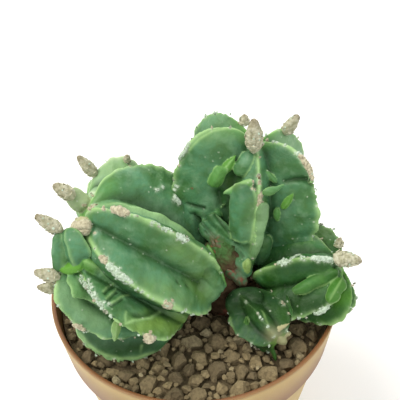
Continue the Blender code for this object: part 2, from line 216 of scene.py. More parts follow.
def skinMaterial(name, look):
    # waxy cactus skin, grown: a soft sheen, blue-green flanks, yellow-green crests, white woolly flecks, with
    # painted shade in the valleys, creases and shaded spots
    settings = {"Roughness": 0.46, "IOR": 1.42, "Specular IOR Level": look["gloss"]}
    patterns = [
        ("Noise", look["mottleMm"], {"Detail": 4.0}), ("Noise", look["mottleMm"] / 5, {"Detail": 5.0}),
        ("Noise", look["bloomMm"], {"Detail": 3.0}), ("Noise", look["grainMm"], {"Detail": 3.0}),
        ("Voronoi", look["fleckMm"], {}),
    ]
    labels = ("warm", "pale", "deep", "young", "edge", "dry", "scurf", "corky", "scar")
    material, tree, mottle, fine, bloom, felt, cells, *marks = newMaterial(name, settings, patterns, labels)
    mark = dict(zip(labels, marks))
    # flecks of white wool are small round cells, scattered by the fine noise
    scattered, scarred = [
        addNode(tree, "ShaderNodeMapRange", 0, {"clamp": True, 0: value, 1: low, 2: high, 4: most})
        for value, low, high, most in ((fine, 0.50, 0.62, 0.6), (mark["scar"], 0.0, 0.5, 1.0))]
    # one layer paints shade: darker valleys, creases and shaded spots on the flanks
    colour = paintLayers(tree, look["flank"], (
        (mottle, 0.40, 0.62, 1.0, look["flankBlue"]), (fine, 0.45, 0.70, 0.45, look["flankWarm"]),
        (bloom, 0.50, 0.72, 0.5, look["bloom"]), (mark["warm"], 0.0, 1.0, 1.0, look["warm"]),
        (mark["pale"], 0.0, 1.0, 1.0, look["pale"]), (mark["deep"], 0.0, 1.0, 0.85, look["deep"]),
        (mark["young"], 0.0, 1.0, 1.0, look["young"]), (mark["edge"], 0.0, 1.0, 1.0, look["crest"]),
        (mark["dry"], 0.0, 1.0, 1.0, look["dry"]), (cells, 0.16, 0.08, scattered, look["scurf"]),
        (felt, 0.36, 0.58, mark["scurf"], look["scurf"]), (felt, 0.30, 0.55, mark["corky"], look["corky"]),
        (felt, 0.38, 0.62, scarred, look["scar"]),
    ))
    return finishMaterial(material, colour, (fine, 0.5, 0.5), (felt, 0.12, 0.6))


woolTones = {
    "white": ("#c9dac6", "#97ab90"), "cream": ("#c8c2a5", "#989076"),
    "grey": ("#adb19c", "#747a63"), "brown": ("#7d6c4c", "#564932"),
}


def woolMaterial(name, light, dark):
    # felted cactus wool: dry, matt and off-white, with greyer hollows
    settings = {"Roughness": 0.95, "Specular IOR Level": 0.1, "Sheen Weight": 0.3}
    material, tree, felt = newMaterial(name, settings, [("Noise", 0.8, {"Detail": 4.0})])
    colour = paintLayers(tree, dark, [(felt, 0.32, 0.62, 1.0, light)])
    return finishMaterial(material, colour, (felt, 0.3, 1.0))


def budMaterial():
    # dried flower scales: papery, straw to pinkish beige, with burnt brown tips
    material, tree, papery, tip = newMaterial(
        "driedScales", {"Roughness": 0.9, "Specular IOR Level": 0.15},
        [("Noise", 1.1, {"Detail": 4.0})], ["tip"])
    colour = paintLayers(tree, "#a19f81", (
        (papery, 0.35, 0.65, 1.0, "#c8c6ae"), (tip, 0.25, 0.95, 1.0, "#75644d"),
    ))
    return finishMaterial(material, colour, (papery, 0.2, 1.0))


def corkMaterial():
    # old corky stem: dry, ridged across, red-brown with grey-green skin left on it
    material, tree, coarse, fine, green = newMaterial(
        "corkyStem", {"Roughness": 0.92, "Specular IOR Level": 0.15},
        [("Noise", 4.0, {"Detail": 5.0}), ("Noise", 1.0, {"Detail": 4.0})], ["green"])
    shift = addNode(tree, "ShaderNodeMath", 0, {"operation": "ADD", 0: green, 1: coarse})
    skin = paintLayers(tree, "#375428", [(fine, 0.35, 0.65, 1.0, "#4c7040")])
    colour = paintLayers(tree, "#4d3c2b", (
        (coarse, 0.38, 0.62, 1.0, "#66533c"), (shift, 0.72, 0.98, 1.0, skin),
        (coarse, 0.56, 0.62, 0.8, "#7d4638"),
    ))
    return finishMaterial(material, colour, (coarse, 0.8, 1.0), (fine, 0.3, 1.0))


def stoneMaterial():
    # crushed lava and clay grit: dull, pitted, each stone its own brown
    material, tree, grain, pits, tone = newMaterial(
        "lavaGrit", {"Roughness": 0.93, "Specular IOR Level": 0.2},
        [("Noise", 0.9, {"Detail": 5.0}), ("Voronoi", 0.8, {})], ["tone"])
    colour = paintLayers(tree, "#75684f", (
        (tone, 0.0, 0.6, 1.0, "#978765"), (tone, 0.82, 1.0, 1.0, "#a99d7c"),
        (grain, 0.42, 0.66, 0.45, "#504736"),
    ))
    return finishMaterial(material, colour, (pits, 0.25, 0.7), (grain, 0.3, 1.0))


def soilMaterial():
    # damp mineral potting mix: dark, crumbly and matt
    settings = {"Roughness": 0.97, "Specular IOR Level": 0.1}
    material, tree, crumb = newMaterial("pottingMix", settings, [("Noise", 2.0, {"Detail": 6.0})])
    colour = paintLayers(tree, "#30261a", [(crumb, 0.35, 0.65, 1.0, "#534532")])
    return finishMaterial(material, colour, (crumb, 0.8, 1.0))


def potMaterial():
    # injection-moulded polypropylene, terracotta coloured: thin, lets a little light in, faint haze and dust
    settings = {
        "Roughness": 0.5, "IOR": 1.49, "Subsurface Weight": 0.25,
        "Subsurface Radius": (0.004, 0.002, 0.001), "Subsurface Scale": 0.6,
    }
    patterns = [("Noise", 14.0, {"Detail": 4.0}), ("Noise", 0.5, {"Detail": 2.0})]
    material, tree, haze, grain, lip = newMaterial("mouldedPolypropylene", settings, patterns, ["lip"])
    # the lip layer is painted shade, browner on the inner wall and rim
    colour = paintLayers(tree, "#ab9056", (
        (haze, 0.35, 0.65, 1.0, "#b69b60"), (lip, 0.0, 1.0, 1.0, "#7a4f2e"),
    ))
    return finishMaterial(material, colour, (grain, 0.05, 1.0))


# Heads: the star-shaped section of the solids at a finer step. Edit-mode operators can't loft such a form.

headShape = {
    # ribs are (angle, reach, lift, sag) and folds (angle, reach, from, to, freshness),
    # in degrees, mm and shares of the way up
    "stem_top": {
        "base": (15.5, 8.0, 80.0), "crown": (20.0, 16.0, 119.5), "front": (0.0, -1.0, 0.0),
        "core": 10.5, "fullness": 0.78, "skew": 0.97, "bulge": 0.08,
        "ribs": [(3, 17.5, 0.5, 2), (52.5, 23.8, 7, 1.6), (126, 23.2, 6, -1), (229, 24.6, 13, 2.8),
                 (279, 24.5, 12, 3)],
        "folds": [(92, 14, 0.3, 0.8, 0.3), (175, 14, 0.3, 0.8, 0.3), (252, 14, 0.3, 0.8, 0.4)],
    },
    "stem_left": {
        "base": (2.5, -5.5, 82.0), "crown": (-30.5, -5.0, 111.5), "front": (0.0, -0.743, 0.669),
        "core": 11.5, "fullness": 0.7, "skew": 1.02, "bulge": 0.12,
        "ribs": [(31, 21, 5.5, 1), (109, 25.6, 0.8, -5), (172, 21, 3, 2), (250, 19, 2, 2),
                 (341, 22.8, -2, 3)],
        "folds": [(68, 13, 0.3, 0.8, 0.1), (138, 13, 0.3, 0.8, 0.2), (210, 13, 0.3, 0.8, 0.2)],
        "valleys": [(9, 14.5)],
    },
    "stem_front": {
        "base": (-4.0, -19.0, 81.5), "crown": (-33.5, -13.0, 103.0), "front": (0.0, -0.743, 0.669),
        "core": 10.0, "fullness": 0.78, "skew": 1.04, "bulge": 0.08,
        "ribs": [(75, 15, 9, 1), (208, 17, 9, 1), (273, 20.5, -6.2, 0.3), (301, 16.5, 5, -10),
                 (348, 24.5, -5.5, -4)],
        "folds": [(20, 12.5, 0.72, 0.97, 0.9), (326, 15.5, 0.62, 0.97, 0.3)],
    },
    "stem_rear": {
        "base": (0.0, 12.0, 85.0), "crown": (-32.0, 16.0, 101.5), "front": (0.0, -0.743, 0.669),
        "core": 9.0, "fullness": 0.74, "skew": 1.2, "bulge": 0.08,
        "ribs": [(15, 14, 2, 1), (92, 15.4, 3.1, -14), (150, 18, 3, 1), (225, 16, 3, 1), (300, 14, 2, 1)],
        "folds": [(120, 11, 0.3, 0.8, 0.2), (188, 11, 0.3, 0.8, 0.2)],
    },
    "stem_right": {
        "base": (22.0, -6.0, 81.0), "crown": (44.0, -10.5, 92.0), "front": (0.0, -0.743, 0.669),
        "core": 7.2, "fullness": 0.76, "skew": 1.01, "bulge": 0.09,
        "ribs": [(43, 15, 2, 2.5), (105, 16.5, 4, -2), (228, 20.5, 2, 12), (256, 16, -4, 6),
                 (327, 13.2, 1, 3.3), (69, 15.2, 5, -6)],
        "folds": [(165, 11, 0.3, 0.8, 0.3)],
    },
    "stem_small": {
        "base": (14.5, -12.0, 81.0), "crown": (23.0, -27.5, 81.0), "front": (0.0, -0.3, 0.95),
        "core": 4.8, "fullness": 0.7, "skew": 1.0, "bulge": 0.08, "paleness": 0.1,
        "ribs": [(12, 8.2, 1, 1), (75, 8.6, 1, 1), (150, 8.4, 1, 1), (215, 8.4, 1, 1), (292, 8.8, 1, 1)],
        "folds": [],
    },
}
headFinish = {
    "rows": 150, "ribSteps": 16, "foldSteps": 8,
    "bead": 0.34, "beadWidth": 0.7,  # mm: the thin raised line along a crest
    "edgeWidth": 0.75,  # mm: how far the pale colour runs down from a crest
    "foldPaleness": 0.5,  # a fold's crest is less pale than a rib's
    "scallop": 0.24, "scallopMm": 5.0,  # crests swell at each areole
    "wander": 0.7,  # mm that a crest strays sideways
    "dents": ((12.0, 0.8), (4.5, 0.42), (1.9, 0.14)),  # (size, depth) in mm of the flanks' unevenness
    "jag": 0.55,  # how ragged a fold's crest is
    "crowding": 1.4,  # points lie closer together at the crest
    "tallMm": 3.0,  # a flank this wide has its full bead and colours
    "valleyReach": 10,  # degrees within which a valley takes its own depth
    "freshFrom": 0.88, "valleyShadeFrom": 0.6,  # shares of the way up and down a flank; painted shade darkens a flank below the second
}


def headAxes(head):
    base, crown = Vector(head["base"]) * mm, Vector(head["crown"]) * mm
    axis = (crown - base).normalized()
    front = Vector(head["front"])
    front = (front - axis * front.dot(axis)).normalized()
    return base, (crown - base).length, front, axis.cross(front), axis


def sweep(head, reach, lift, sag, turn):
    length = headAxes(head)[1]
    skewed = math.pi * (turn / math.pi) ** head["skew"]
    radius = reach * mm * max(math.sin(skewed), 0.0) ** head["fullness"]
    sine, up = math.sqrt(max(math.sin(turn), 0.0)), (1 - math.cos(turn)) / 2
    return radius, length * up + lift * mm * sine * up - sag * mm * sine * (1 - up)


def hump(share, start, end):
    if not start < share < end:
        return 0.0
    return math.sin(math.pi * (share - start) / (end - start)) ** 0.7


def crestsOf(head):
    crests = [("rib", *rib) for rib in head["ribs"]] + [("fold", *fold) for fold in head["folds"]]
    return sorted(crests, key=lambda crest: crest[1] % 360)


def crestSpot(head, crest, turn, seed):
    # the crest's place and the way out from the axis, with its small wanderings
    look = headFinish
    base, _, front, side, axis = headAxes(head)
    share = turn / math.pi
    if crest[0] == "rib":
        radius, height = sweep(head, crest[2], crest[3], crest[4], turn)
        arc = share * math.pi * crest[2]
        radius += look["scallop"] * mm * math.cos(2 * math.pi * arc / look["scallopMm"]) * math.sin(turn)
    else:
        ragged = 1 + look["jag"] * noise.noise(Vector((share * 16, seed * 3.7, 0.5)))
        low, high = sweep(head, head["core"], 1.0, 1.0, turn), sweep(head, crest[2], 3.0, 2.0, turn)
        rise = hump(share, crest[3], crest[4]) * ragged
        radius, height = (one + (two - one) * rise for one, two in zip(low, high))
    stray = look["wander"] * mm * noise.noise(Vector((share * 5, seed * 2.3, 9.5))) * math.sin(turn)
    angle = math.radians(crest[1])
    out = front * math.cos(angle) + side * math.sin(angle)
    return base + out * radius + axis * height + axis.cross(out) * stray, out


def sectionAt(head, crests, share):
    # one ring of the star section: (point, edge, young, painted shade) round the head, the painted shade
    # darkening each valley
    look = headFinish
    base, _, front, side, axis = headAxes(head)
    turn = math.pi * share
    spots = [crestSpot(head, crest, turn, index) for index, crest in enumerate(crests)]
    ring = []
    for index, crest in enumerate(crests):
        after = (index + 1) % len(crests)
        gap = math.radians((crests[after][1] - crest[1]) % 360)
        middle = math.radians(crest[1]) + gap / 2
        core = head["core"]
        for at, reach in head.get("valleys", []):
            if abs(math.degrees(middle) % 360 - at) < look["valleyReach"]:
                core = reach
        radius, height = sweep(head, core, 1.0, 1.0, turn)
        valley = base + (front * math.cos(middle) + side * math.sin(middle)) * radius + axis * height
        for place, way in ((index, 1), (after, -1)):
            kind = crests[place][0]
            top, out = spots[place]
            away = axis.cross(out) * way
            flank = (top - valley).length
            full = min(1.0, flank / mm / look["tallMm"])
            steps = look["ribSteps"] if kind == "rib" else look["foldSteps"]
            paleness = head.get("paleness", 1.0) if kind == "rib" else look["foldPaleness"]
            fresh = max(0.0, (share - look["freshFrom"]) / (1 - look["freshFrom"]))
            if kind == "fold":
                fresh = max(fresh, hump(share, crests[place][3], crests[place][4]) * crests[place][5])
            for step in range(steps) if way > 0 else range(steps, 0, -1):
                part = (step / steps) ** look["crowding"]
                down = part * flank / mm
                point = top.lerp(valley, part) + away * flank * head["bulge"] * 4 * part * (1 - part)
                point += out * look["bead"] * mm * full * math.exp(-(down / look["beadWidth"]) ** 2)
                pale = math.exp(-(down / look["edgeWidth"]) ** 2) * full * paleness
                # painted shade, darkest at the valley
                deep = max(0.0, part - look["valleyShadeFrom"]) / (1 - look["valleyShadeFrom"]) * full
                ring.append((point, pale, min(1.0, fresh) * (1 - 0.4 * part), deep))
    return ring


def headPiece(name, head):
    # a sphere whose every ring is drawn out to the star section
    crests = crestsOf(head)
    rows = headFinish["rows"]
    rings = [sectionAt(head, crests, row / rows) for row in range(1, rows)]
    columns = len(rings[0])
    base, length, _, _, axis = headAxes(head)
    deselectAll()
    bpy.ops.mesh.primitive_uv_sphere_add(segments=columns, ring_count=rows, radius=length / 2, location=base)
    piece = bpy.context.object
    bpy.ops.object.transform_apply(location=True)
    values = {"edge": [], "young": [], "deep": []}
    for vert in piece.data.vertices:
        away = vert.co - base
        row = rows - round(math.acos(max(-1.0, min(1.0, away.z / (length / 2)))) / math.pi * rows)
        if 0 < row < rows:
            column = round(math.atan2(away.y, away.x) / math.tau * columns) % columns
            point, edge, young, deep = rings[row - 1][column]
        else:
            point, edge, young, deep = base + axis * length * (row / rows), 0.0, row / rows, 0.0
        vert.co = point
        for label, value in zip(values, (edge, young, deep)):
            values[label].append(value)
    for label in values:
        setValues(piece, label, values[label])
    piece.data.update()
    dent(piece, headFinish["dents"])
    faceOutwards(piece)
    bpy.ops.object.shade_smooth()
    return joinAll(name, [piece])


def dent(piece, dents):
    # unevenness along the normals, from (size, depth) pairs in mm
    normals = [vert.normal.copy() for vert in piece.data.vertices]
    for vert, normal in zip(piece.data.vertices, normals):
        push = sum(depth * noise.noise(vert.co / (size * mm)) for size, depth in dents)
        vert.co += normal * push * mm


detailSpec = {
    "smoothness": (32, 20),  # segments and rings of a lobe
    "voxel": 0.35, "softening": (0.5, 1),  # mm, then the factor and repeats that smooth the melt
    "ruffle": ((4.0, 0.5), (2.2, 0.3), (0.9, 0.1)),  # (size, depth) in mm of a lobe's unevenness
    "rimFrom": 0.84, "rimFade": 0.14,  # where a lobe's pale edge starts, and how fast it comes
    "footShade": (0.3, 0.8),  # how far down the shade at its foot starts, and how deep it gets
    # swollen plates, teeth and frills grown on the flanks, in mm; a keel of 1 gives a sharp ridge:
    # (foot, tip, facing, width, thickness, squareness, taper, freshness, dryness, keel, edging)
    "lobes": {"stem_top": [
        ((15.5, 1.5, 116.8), (14.6, -4.5, 98.2), (-0.45, -0.85, 0.3), 9.4, 5, 3, 0.15, 0, 0, 0.35, 0.7),
        ((18.2, 1, 117.5), (9.7, 2.5, 111.9), (-0.2, -0.6, 0.75), 4.2, 2.6, 2.2, 0.6, 0.35, 0, 0, 0.7),
        ((6.8, 6.5, 111.5), (10, 7.8, 118), (-0.3, -0.9, 0.4), 4.4, 2.8, 3.2, 0, 0.5, 0, 0.5, 0.5),
        ((9, 7.6, 115), (14.3, 10.2, 120.4), (-0.3, -0.9, 0.4), 4.2, 2.6, 2.2, 0.75, 0.7, 0, 0.7, 0.6),
        ((20.6, -1.5, 114.5), (27.2, 0.5, 116.2), (0.1, -0.8, 0.6), 3.2, 2.2, 2.2, 0.75, 0.2, 0, 0, 0.7),
        ((21.2, -3.4, 113.6), (18, -6.2, 91), (0.25, -0.95, 0.2), 5.2, 2.8, 2.6, 0.55, 0, 0, 0.1, 0.1),
        ((26.9, 1, 106.4), (30, 2, 111.8), (0.2, -0.9, 0.4), 2.6, 2, 2.4, 0.3, 0.8, 0, 0.7, 0.4),
        ((25.5, 0.8, 101.6), (25.3, 1.6, 106.2), (0.1, -0.9, 0.4), 2.6, 2, 2, 0.2, 0.5, 0, 0.2, 0.7),
        ((22.3, 0, 97), (20.1, -1, 85.2), (0.2, -0.95, 0.2), 5.4, 5, 2.6, 0.1, 0.1, 0, 0, 0.7),
        ((16.4, -7.6, 94.6), (15.6, -9, 89.8), (0, -0.9, 0.4), 2.6, 2.4, 2, 0.2, 0.9, 0.3, 0, 0.7),
        ((18.1, 11, 120.3), (14.3, 6, 115.6), (-0.4, -0.6, 0.7), 4.8, 2.6, 3, 0.1, 0, 0, 0, 0.7),
        ((21.9, 7, 116.6), (25.3, 5, 113.5), (0.1, -0.7, 0.7), 2.4, 2.2, 2.2, 0.3, 0.3, 0, 0, 0.7),
        ((6, -1, 98), (16.6, -8.6, 88.6), (-0.3, -0.6, 0.75), 7, 6, 2.6, 0.1, 0, 0, 0.5, 0.1),
        ((9.6, -8, 92), (15.6, -10.2, 86.4), (-0.2, -0.7, 0.6), 4, 4, 2.6, 0.1, 0, 0, 0.4, 0),
        ((11, -1, 96.5), (17.6, -6.6, 91.4), (-0.3, -0.6, 0.75), 5, 3.6, 2.4, 0.2, 0, 0, 0.4, 0.2),
        ((2.5, 3.6, 100.8), (9, -3.6, 95.4), (-0.35, -0.75, 0.55), 5.4, 3, 2.2, 0.3, 0, 0, 0.5, 0.2),
        ((5.2, 3.4, 103.4), (12.6, -2.4, 97.6), (-0.35, -0.75, 0.55), 5, 2.8, 2.2, 0.3, 0, 0, 0.5, 0.2),
        ((7.6, 5.4, 104.6), (8.9, 3.9, 101.6), (-0.1, -0.9, 0.4), 1.8, 1.8, 2, 0.2, 0.2, 0, 0, 0.7),
        ((9.5, 4.4, 104.2), (9.8, 4.4, 106.6), (0.1, -0.95, 0.3), 1.7, 1.9, 2, 0.1, 0.1, 0, 0, 0.7),
    ], "stem_left": [
        ((4.3, -4.6, 98.6), (9.4, -13.8, 89.8), (0.5, -0.75, 0.4), 2.2, 2.4, 3, 0.1, 0.45, 0, 0.8, 0.6),
        ((0.6, -16.2, 93.6), (7.2, -13.6, 86.6), (0.3, -0.7, 0.6), 7.5, 4.8, 2.4, 0.1, 0, 0, 0.3, 0),
        ((3.2, -13.6, 99), (8.2, -14.6, 89), (0.45, -0.8, 0.4), 4.6, 3.6, 3, 0.1, 0, 0, 0.2, 0),
        ((-29.6, -1, 112), (-34.6, 2, 116.4), (-0.1, -0.7, 0.7), 6.2, 5, 2.8, 0, 0, 0.35, 0.3, 0.7),
        ((-32.6, -10.4, 114.2), (-27.4, -10.6, 114.4), (-0.1, -0.65, 0.76), 5.4, 3.4, 2.2, 0, 0, 0.9, 0, 0),
    ], "stem_front": [
        ((-30.6, -17, 105.8), (-33.4, -12, 115), (-0.5, -0.6, 0.55), 11, 7.5, 2.4, 0.25, 0, 0, 0.9, 0.5),
        ((-36.8, -17, 103), (-35.8, -12.5, 114), (-0.75, -0.5, 0.45), 4.4, 6, 2.4, 0.1, 0, 0, 0.2, 0.3),
        ((-20.3, -34, 101.8), (-22, -34.2, 93.4), (0.1, -0.8, 0.6), 3.2, 2.6, 2.2, 0.75, 0.6, 0.15, 0.7, 0.6),
        ((-25.5, -28, 104.4), (-21.1, -23.5, 102.6), (0.1, -0.4, 0.9), 0.9, 1.4, 2, 0.5, 0, 0, 0, 0.7),
        ((-23.3, -30.5, 103.9), (-19.6, -27.5, 101.6), (0.2, -0.4, 0.9), 0.9, 1.4, 2, 0.5, 0, 0, 0, 0.7),
        ((-20.1, -32, 102.6), (-18.7, -34, 100), (0.3, -0.5, 0.8), 0.9, 1.4, 2, 0.5, 0, 0, 0, 0.7),
        ((-36.8, -17.5, 104), (-30.2, -18.5, 106.6), (0, -0.5, 0.85), 3.2, 3, 2.2, 0.2, 0.9, 0, 0.5, 0.3),
        ((-30.6, -18.5, 106.8), (-28.4, -16.5, 109.8), (0.3, -0.5, 0.8), 2.2, 2.2, 2.2, 0.5, 0.6, 0, 0.5,
         0.7),
    ], "stem_right": [
        ((41.9, -14, 94.8), (28.3, -18, 90.9), (-0.1, -0.55, 0.83), 3.8, 3.2, 3.6, 0, 0.12, 0, 0.4, 0.7),
        ((26.7, -16.5, 89.1), (27.7, -25, 87.9), (-0.3, -0.3, 0.9), 1.2, 1.6, 2.2, 0.3, 0, 0, 0, 0.7),
        ((43, -15.5, 93.4), (37.9, -23, 91.6), (0.1, -0.3, 0.95), 5, 3.4, 2.2, 0.2, 0.3, 0, 0.9, 0.7),
    ], "stem_small": [
        ((9.4, -14.5, 82), (20.6, -15.6, 86.6), (0, -0.6, 0.8), 9, 7, 2.6, 0.1, 0, 0, 0.3, 0),
        ((21.5, -26.5, 79), (23.2, -29.5, 72.6), (0, -0.9, 0.3), 2.4, 2, 2, 0.7, 0.2, 0, 0.6, 0.3),
        ((21, -27, 83.4), (28, -24, 85.4), (0.2, -0.7, 0.7), 1.8, 1.8, 2, 0.5, 0.1, 0.9, 0, 0.7),
        ((23, -27, 83), (25.6, -26.5, 78.4), (0.2, -0.7, 0.7), 2.6, 2.4, 2, 0.2, 0.3, 0.7, 0, 0.7),
        ((24.6, -26, 82.6), (27.6, -24.6, 80.6), (0.4, -0.7, 0.6), 2, 2, 2, 0.2, 0.2, 0.8, 0, 0.7),
        ((14.7, -21, 85), (15.8, -26, 78.6), (-0.3, -0.6, 0.75), 1.3, 1.8, 2.2, 0.3, 0.2, 0, 0, 0.7),
    ]},
    # creases and swellings: (points, width, height) in mm
    "strokes": {"stem_top": [
        (((28, 4.6, 113.8), (30, 4, 114.8), (32.5, 3.4, 115.4), (36, 3, 114.8)), 0.9, -1.5),
        (((8.6, 6.2, 109.2), (9, 5, 106), (10.4, 3, 104.4)), 1.3, -1.3),
        (((-1, 5.8, 105.4), (4, 5, 104.2)), 0.6, -1),
        (((2.5, 3, 101.2), (5, 0.5, 99.8), (7, -2, 98.8)), 0.5, -0.6),
        (((7.5, 2.5, 103.6), (9, 0.5, 102.2), (11, -1.8, 100.5)), 0.5, -0.6),
        (((13.5, -4.5, 95.8), (15, -6, 94.2)), 0.5, -0.6),
        (((4, 0, 99.5), (6.5, -3.5, 98)), 0.6, -0.6),
        (((1, 4.8, 101.6), (3.5, 4, 99), (5.5, 3.5, 96.5)), 1.1, -1.4),
    ], "stem_left": [
        (((-26, -10, 113.5), (-19.5, -13.5, 111), (-11.5, -15, 106), (-5, -16.5, 100.5)), 0.8, -0.9),
        (((-2, -13, 103.5), (2, -9, 101)), 4, 1),
        (((-4.5, -20.5, 100.5), (-3.5, -22.5, 92)), 0.7, -0.7),
        (((-2, -19.5, 98), (-1, -20.5, 92)), 0.6, -0.6),
        (((-4.4, -18, 103), (-2.6, -19.6, 101), (-1, -19, 98.5)), 0.7, -1),
    ], "stem_front": [
        (((-16, -32, 101), (-13.5, -31, 99), (-9.5, -24.5, 94)), 1.2, -0.5),
        (((-23.5, -27.6, 105.3), (-22.5, -24.6, 103.8), (-21.5, -22.6, 102.3)), 0.5, -0.5),
        (((-22.5, -30.1, 105.3), (-21.5, -27.6, 104.3), (-20.5, -25.1, 102.8)), 0.5, -0.45),
        (((-21.5, -31.6, 104.8), (-20, -30.1, 104.3), (-19, -27.6, 102.8)), 0.5, -0.5),
    ], "stem_right": [
        (((41, -13, 95.5), (33, -12.5, 93.5), (27, -13, 90)), 0.7, -0.8),
    ]},
    # colour laid on a flank, painted shade among it: (points in mm, width, tint, amount)
    "tints": {"stem_top": [
        (((5.5, -3, 98.5), (9, -6.5, 96)), 2.2, "corky", 0.9),
        (((19, -3, 111), (18.5, -4.2, 108), (18, -5, 105), (17.5, -5.2, 101), (17, -5.2, 96), (16.2, -8, 94)),
         0.45, "edge", 0.9),
        (((10, 2.5, 113), (14.5, 2, 116.8), (17.5, 1, 118)), 0.7, "edge", 0.8),
        (((11.5, -2.5, 99), (13, -5, 99.8), (16, -5.6, 100.2)), 0.4, "edge", 0.7),
        (((0.5, 12, 121.5), (3.5, 13, 124.5), (7.5, 14.5, 126), (12, 15.5, 126)), 0.5, "edge", 0.8),
        (((11.5, -9.5, 91.5), (10.5, -11.5, 88), (15, -11, 87)), 2.2, "corky", 1),
        (((29.5, 9, 122), (27, 7.5, 119.5), (26, 5.5, 118)), 5, "deep", 0.45),
        (((8, 10.5, 122), (6, 9.5, 119)), 4, "deep", 0.3),
        (((28.2, 4.6, 113.8), (32, 3.6, 115.4), (35.8, 3, 115)), 0.8, "deep", 0.9),
        (((8.5, 27.5, 122), (12.5, 23.5, 123)), 6, "pale", 0.35),
        (((28.5, 19.5, 117), (33.5, 22.5, 111)), 5, "pale", 0.65),
        (((5, 13.5, 125.5), (11, 14.5, 125.5)), 3.5, "warm", 0.35),
        (((12, 7, 112.5), (13, 1.5, 116)), 1.8, "warm", 0.6),
        (((21, -4, 112), (19.8, -5, 96)), 3, "warm", 0.6),
        (((21, -4, 112), (19.8, -5, 96)), 2.6, "pale", 0.85),
        (((28.5, 5, 118), (26, 5, 120)), 4.5, "deep", 0.35),
        (((8, -5.5, 93), (15, -11.5, 87)), 3.5, "deep", 0.5),
    ], "stem_left": [
        (((-6, 4, 107.6), (-3, 5.4, 105.8)), 1.6, "deep", 0.5),
        (((-34, -1, 115.5), (-29.5, -2, 114.8)), 3.6, "pale", 0.9),
        (((0.5, -17, 97), (4.5, -18.5, 91)), 4, "warm", 0.5),
        (((-17, -4, 113.5), (-11, -3, 110.5), (-3.5, -3, 104.5)), 2.8, "pale", 0.85),
        (((-27, -1.5, 115.5), (-22.5, 3, 117)), 3, "young", 0.3),
        (((-4.5, -14.5, 109), (2, -14, 101)), 3.5, "warm", 0.45),
        (((-11.5, -26, 105.5), (-1, -24.5, 97)), 3.5, "warm", 0.4),
    ], "stem_front": [
        (((-14.5, -36, 100.5), (-11, -31.5, 97), (-7, -30, 92.5), (-4, -22.5, 85.5)), 4, "warm", 0.85),
        (((-20, -30.5, 103.5), (-14.5, -27.5, 100.5)), 2.6, "deep", 0.5),
        (((-31, -25.6, 84.6), (-23, -26.8, 80.2), (-13.5, -25.2, 79.4)), 3.4, "deep", 1),
        (((-18, -36, 102.5), (-15.5, -33.5, 101), (-12, -30.5, 97.5), (-10, -24.5, 92.5)), 0.5, "edge", 0.75),
        (((-24, -27, 105.5), (-23, -24, 104), (-22, -22, 102.5)), 0.4, "edge", 0.6),
        (((-23, -29.5, 105.5), (-22, -27, 104.5), (-21, -24.5, 103)), 0.35, "edge", 0.6),
        (((-22, -31, 105), (-20.5, -29.5, 104.5), (-19.5, -27, 103), (-18, -24, 100)), 0.4, "edge", 0.6),
        (((-18, -35.5, 102.5), (-18, -33.5, 103), (-18, -32, 102.5)), 0.4, "edge", 0.6),
        (((-16.5, -26.7, 76.4), (-16.5, -26.5, 78), (-16, -26, 80)), 0.4, "edge", 0.6),
        (((-33, -25.2, 86), (-30.6, -27.1, 82.2), (-27, -28.2, 79.2), (-22.7, -28.4, 77), (-18, -27.7, 76.1),
         (-13.2, -26, 76.4)), 0.75, "edge", 0.9),
        (((-35, -22.5, 101), (-30.5, -25.5, 97), (-27, -27, 94)), 4.5, "pale", 0.55),
    ], "stem_right": [
        (((34.3, 2.2, 95.9), (37.8, -0.8, 95.9), (39.5, -2.8, 95.4), (40.7, -4.6, 94.9), (42, -7, 94)), 0.7,
         "edge", 1),
        (((36.1, 10.9, 90.8), (40.7, 7.7, 92.8), (43.8, 3.3, 93.9), (45.2, -2.3, 93.9)), 0.7, "edge", 0.8),
        (((26.5, -17, 87), (30.5, -20, 88), (34.5, -22, 89)), 4.5, "deep", 0.95),
        (((38, 1, 94), (41, 5, 93.5)), 4, "warm", 0.35),
        (((42, -18.5, 88), (45, -18.5, 88.5)), 2.8, "young", 0.7),
        (((30.5, -17.5, 92.5), (36.5, -16.5, 94)), 2.5, "young", 0.25),
        (((30.5, -19.5, 89.5), (34.5, -22, 89.5)), 4, "deep", 0.7),
        (((24, -12, 94), (31, -13.5, 96.5), (36.5, -14, 96)), 3, "deep", 0.65),
        (((30.5, -18.5, 91.5), (36.5, -17.5, 93)), 1.6, "deep", 0.5),
    ], "stem_small": [
        (((10, -19, 82), (10.6, -23, 81.6), (12.5, -26.5, 81)), 0.5, "edge", 0.8),
        (((19.5, -21.5, 87.8), (20.2, -24.5, 87.6), (20.5, -27.5, 86.2)), 0.5, "edge", 0.8),
        (((12, -16, 86), (18, -13, 88)), 2.5, "deep", 0.9),
        (((10.5, -16, 86), (20, -17, 88.5)), 4.5, "deep", 0.8),
        (((21.5, -28, 85), (25, -26, 80)), 2.2, "dry", 0.5),
    ]},
    # small red-brown scars: (place, radius) in mm
    "scars": {"stem_top": [
        ((7.4, -2.6, 99.4), 1.6), ((9.4, -5.8, 97.2), 2), ((11.2, -9.8, 93), 2.2), ((14.4, -11.4, 89.6), 1.8),
        ((9, -10.6, 91.4), 1.4), ((0.5, 7.3, 110.5), 0.7),
    ], "stem_left": [
        ((-15, -26, 103.5), 0.6),
    ], "stem_front": [
        ((-26, -25, 105.5), 0.5), ((-33, -25, 99.4), 0.6),
    ]},
}


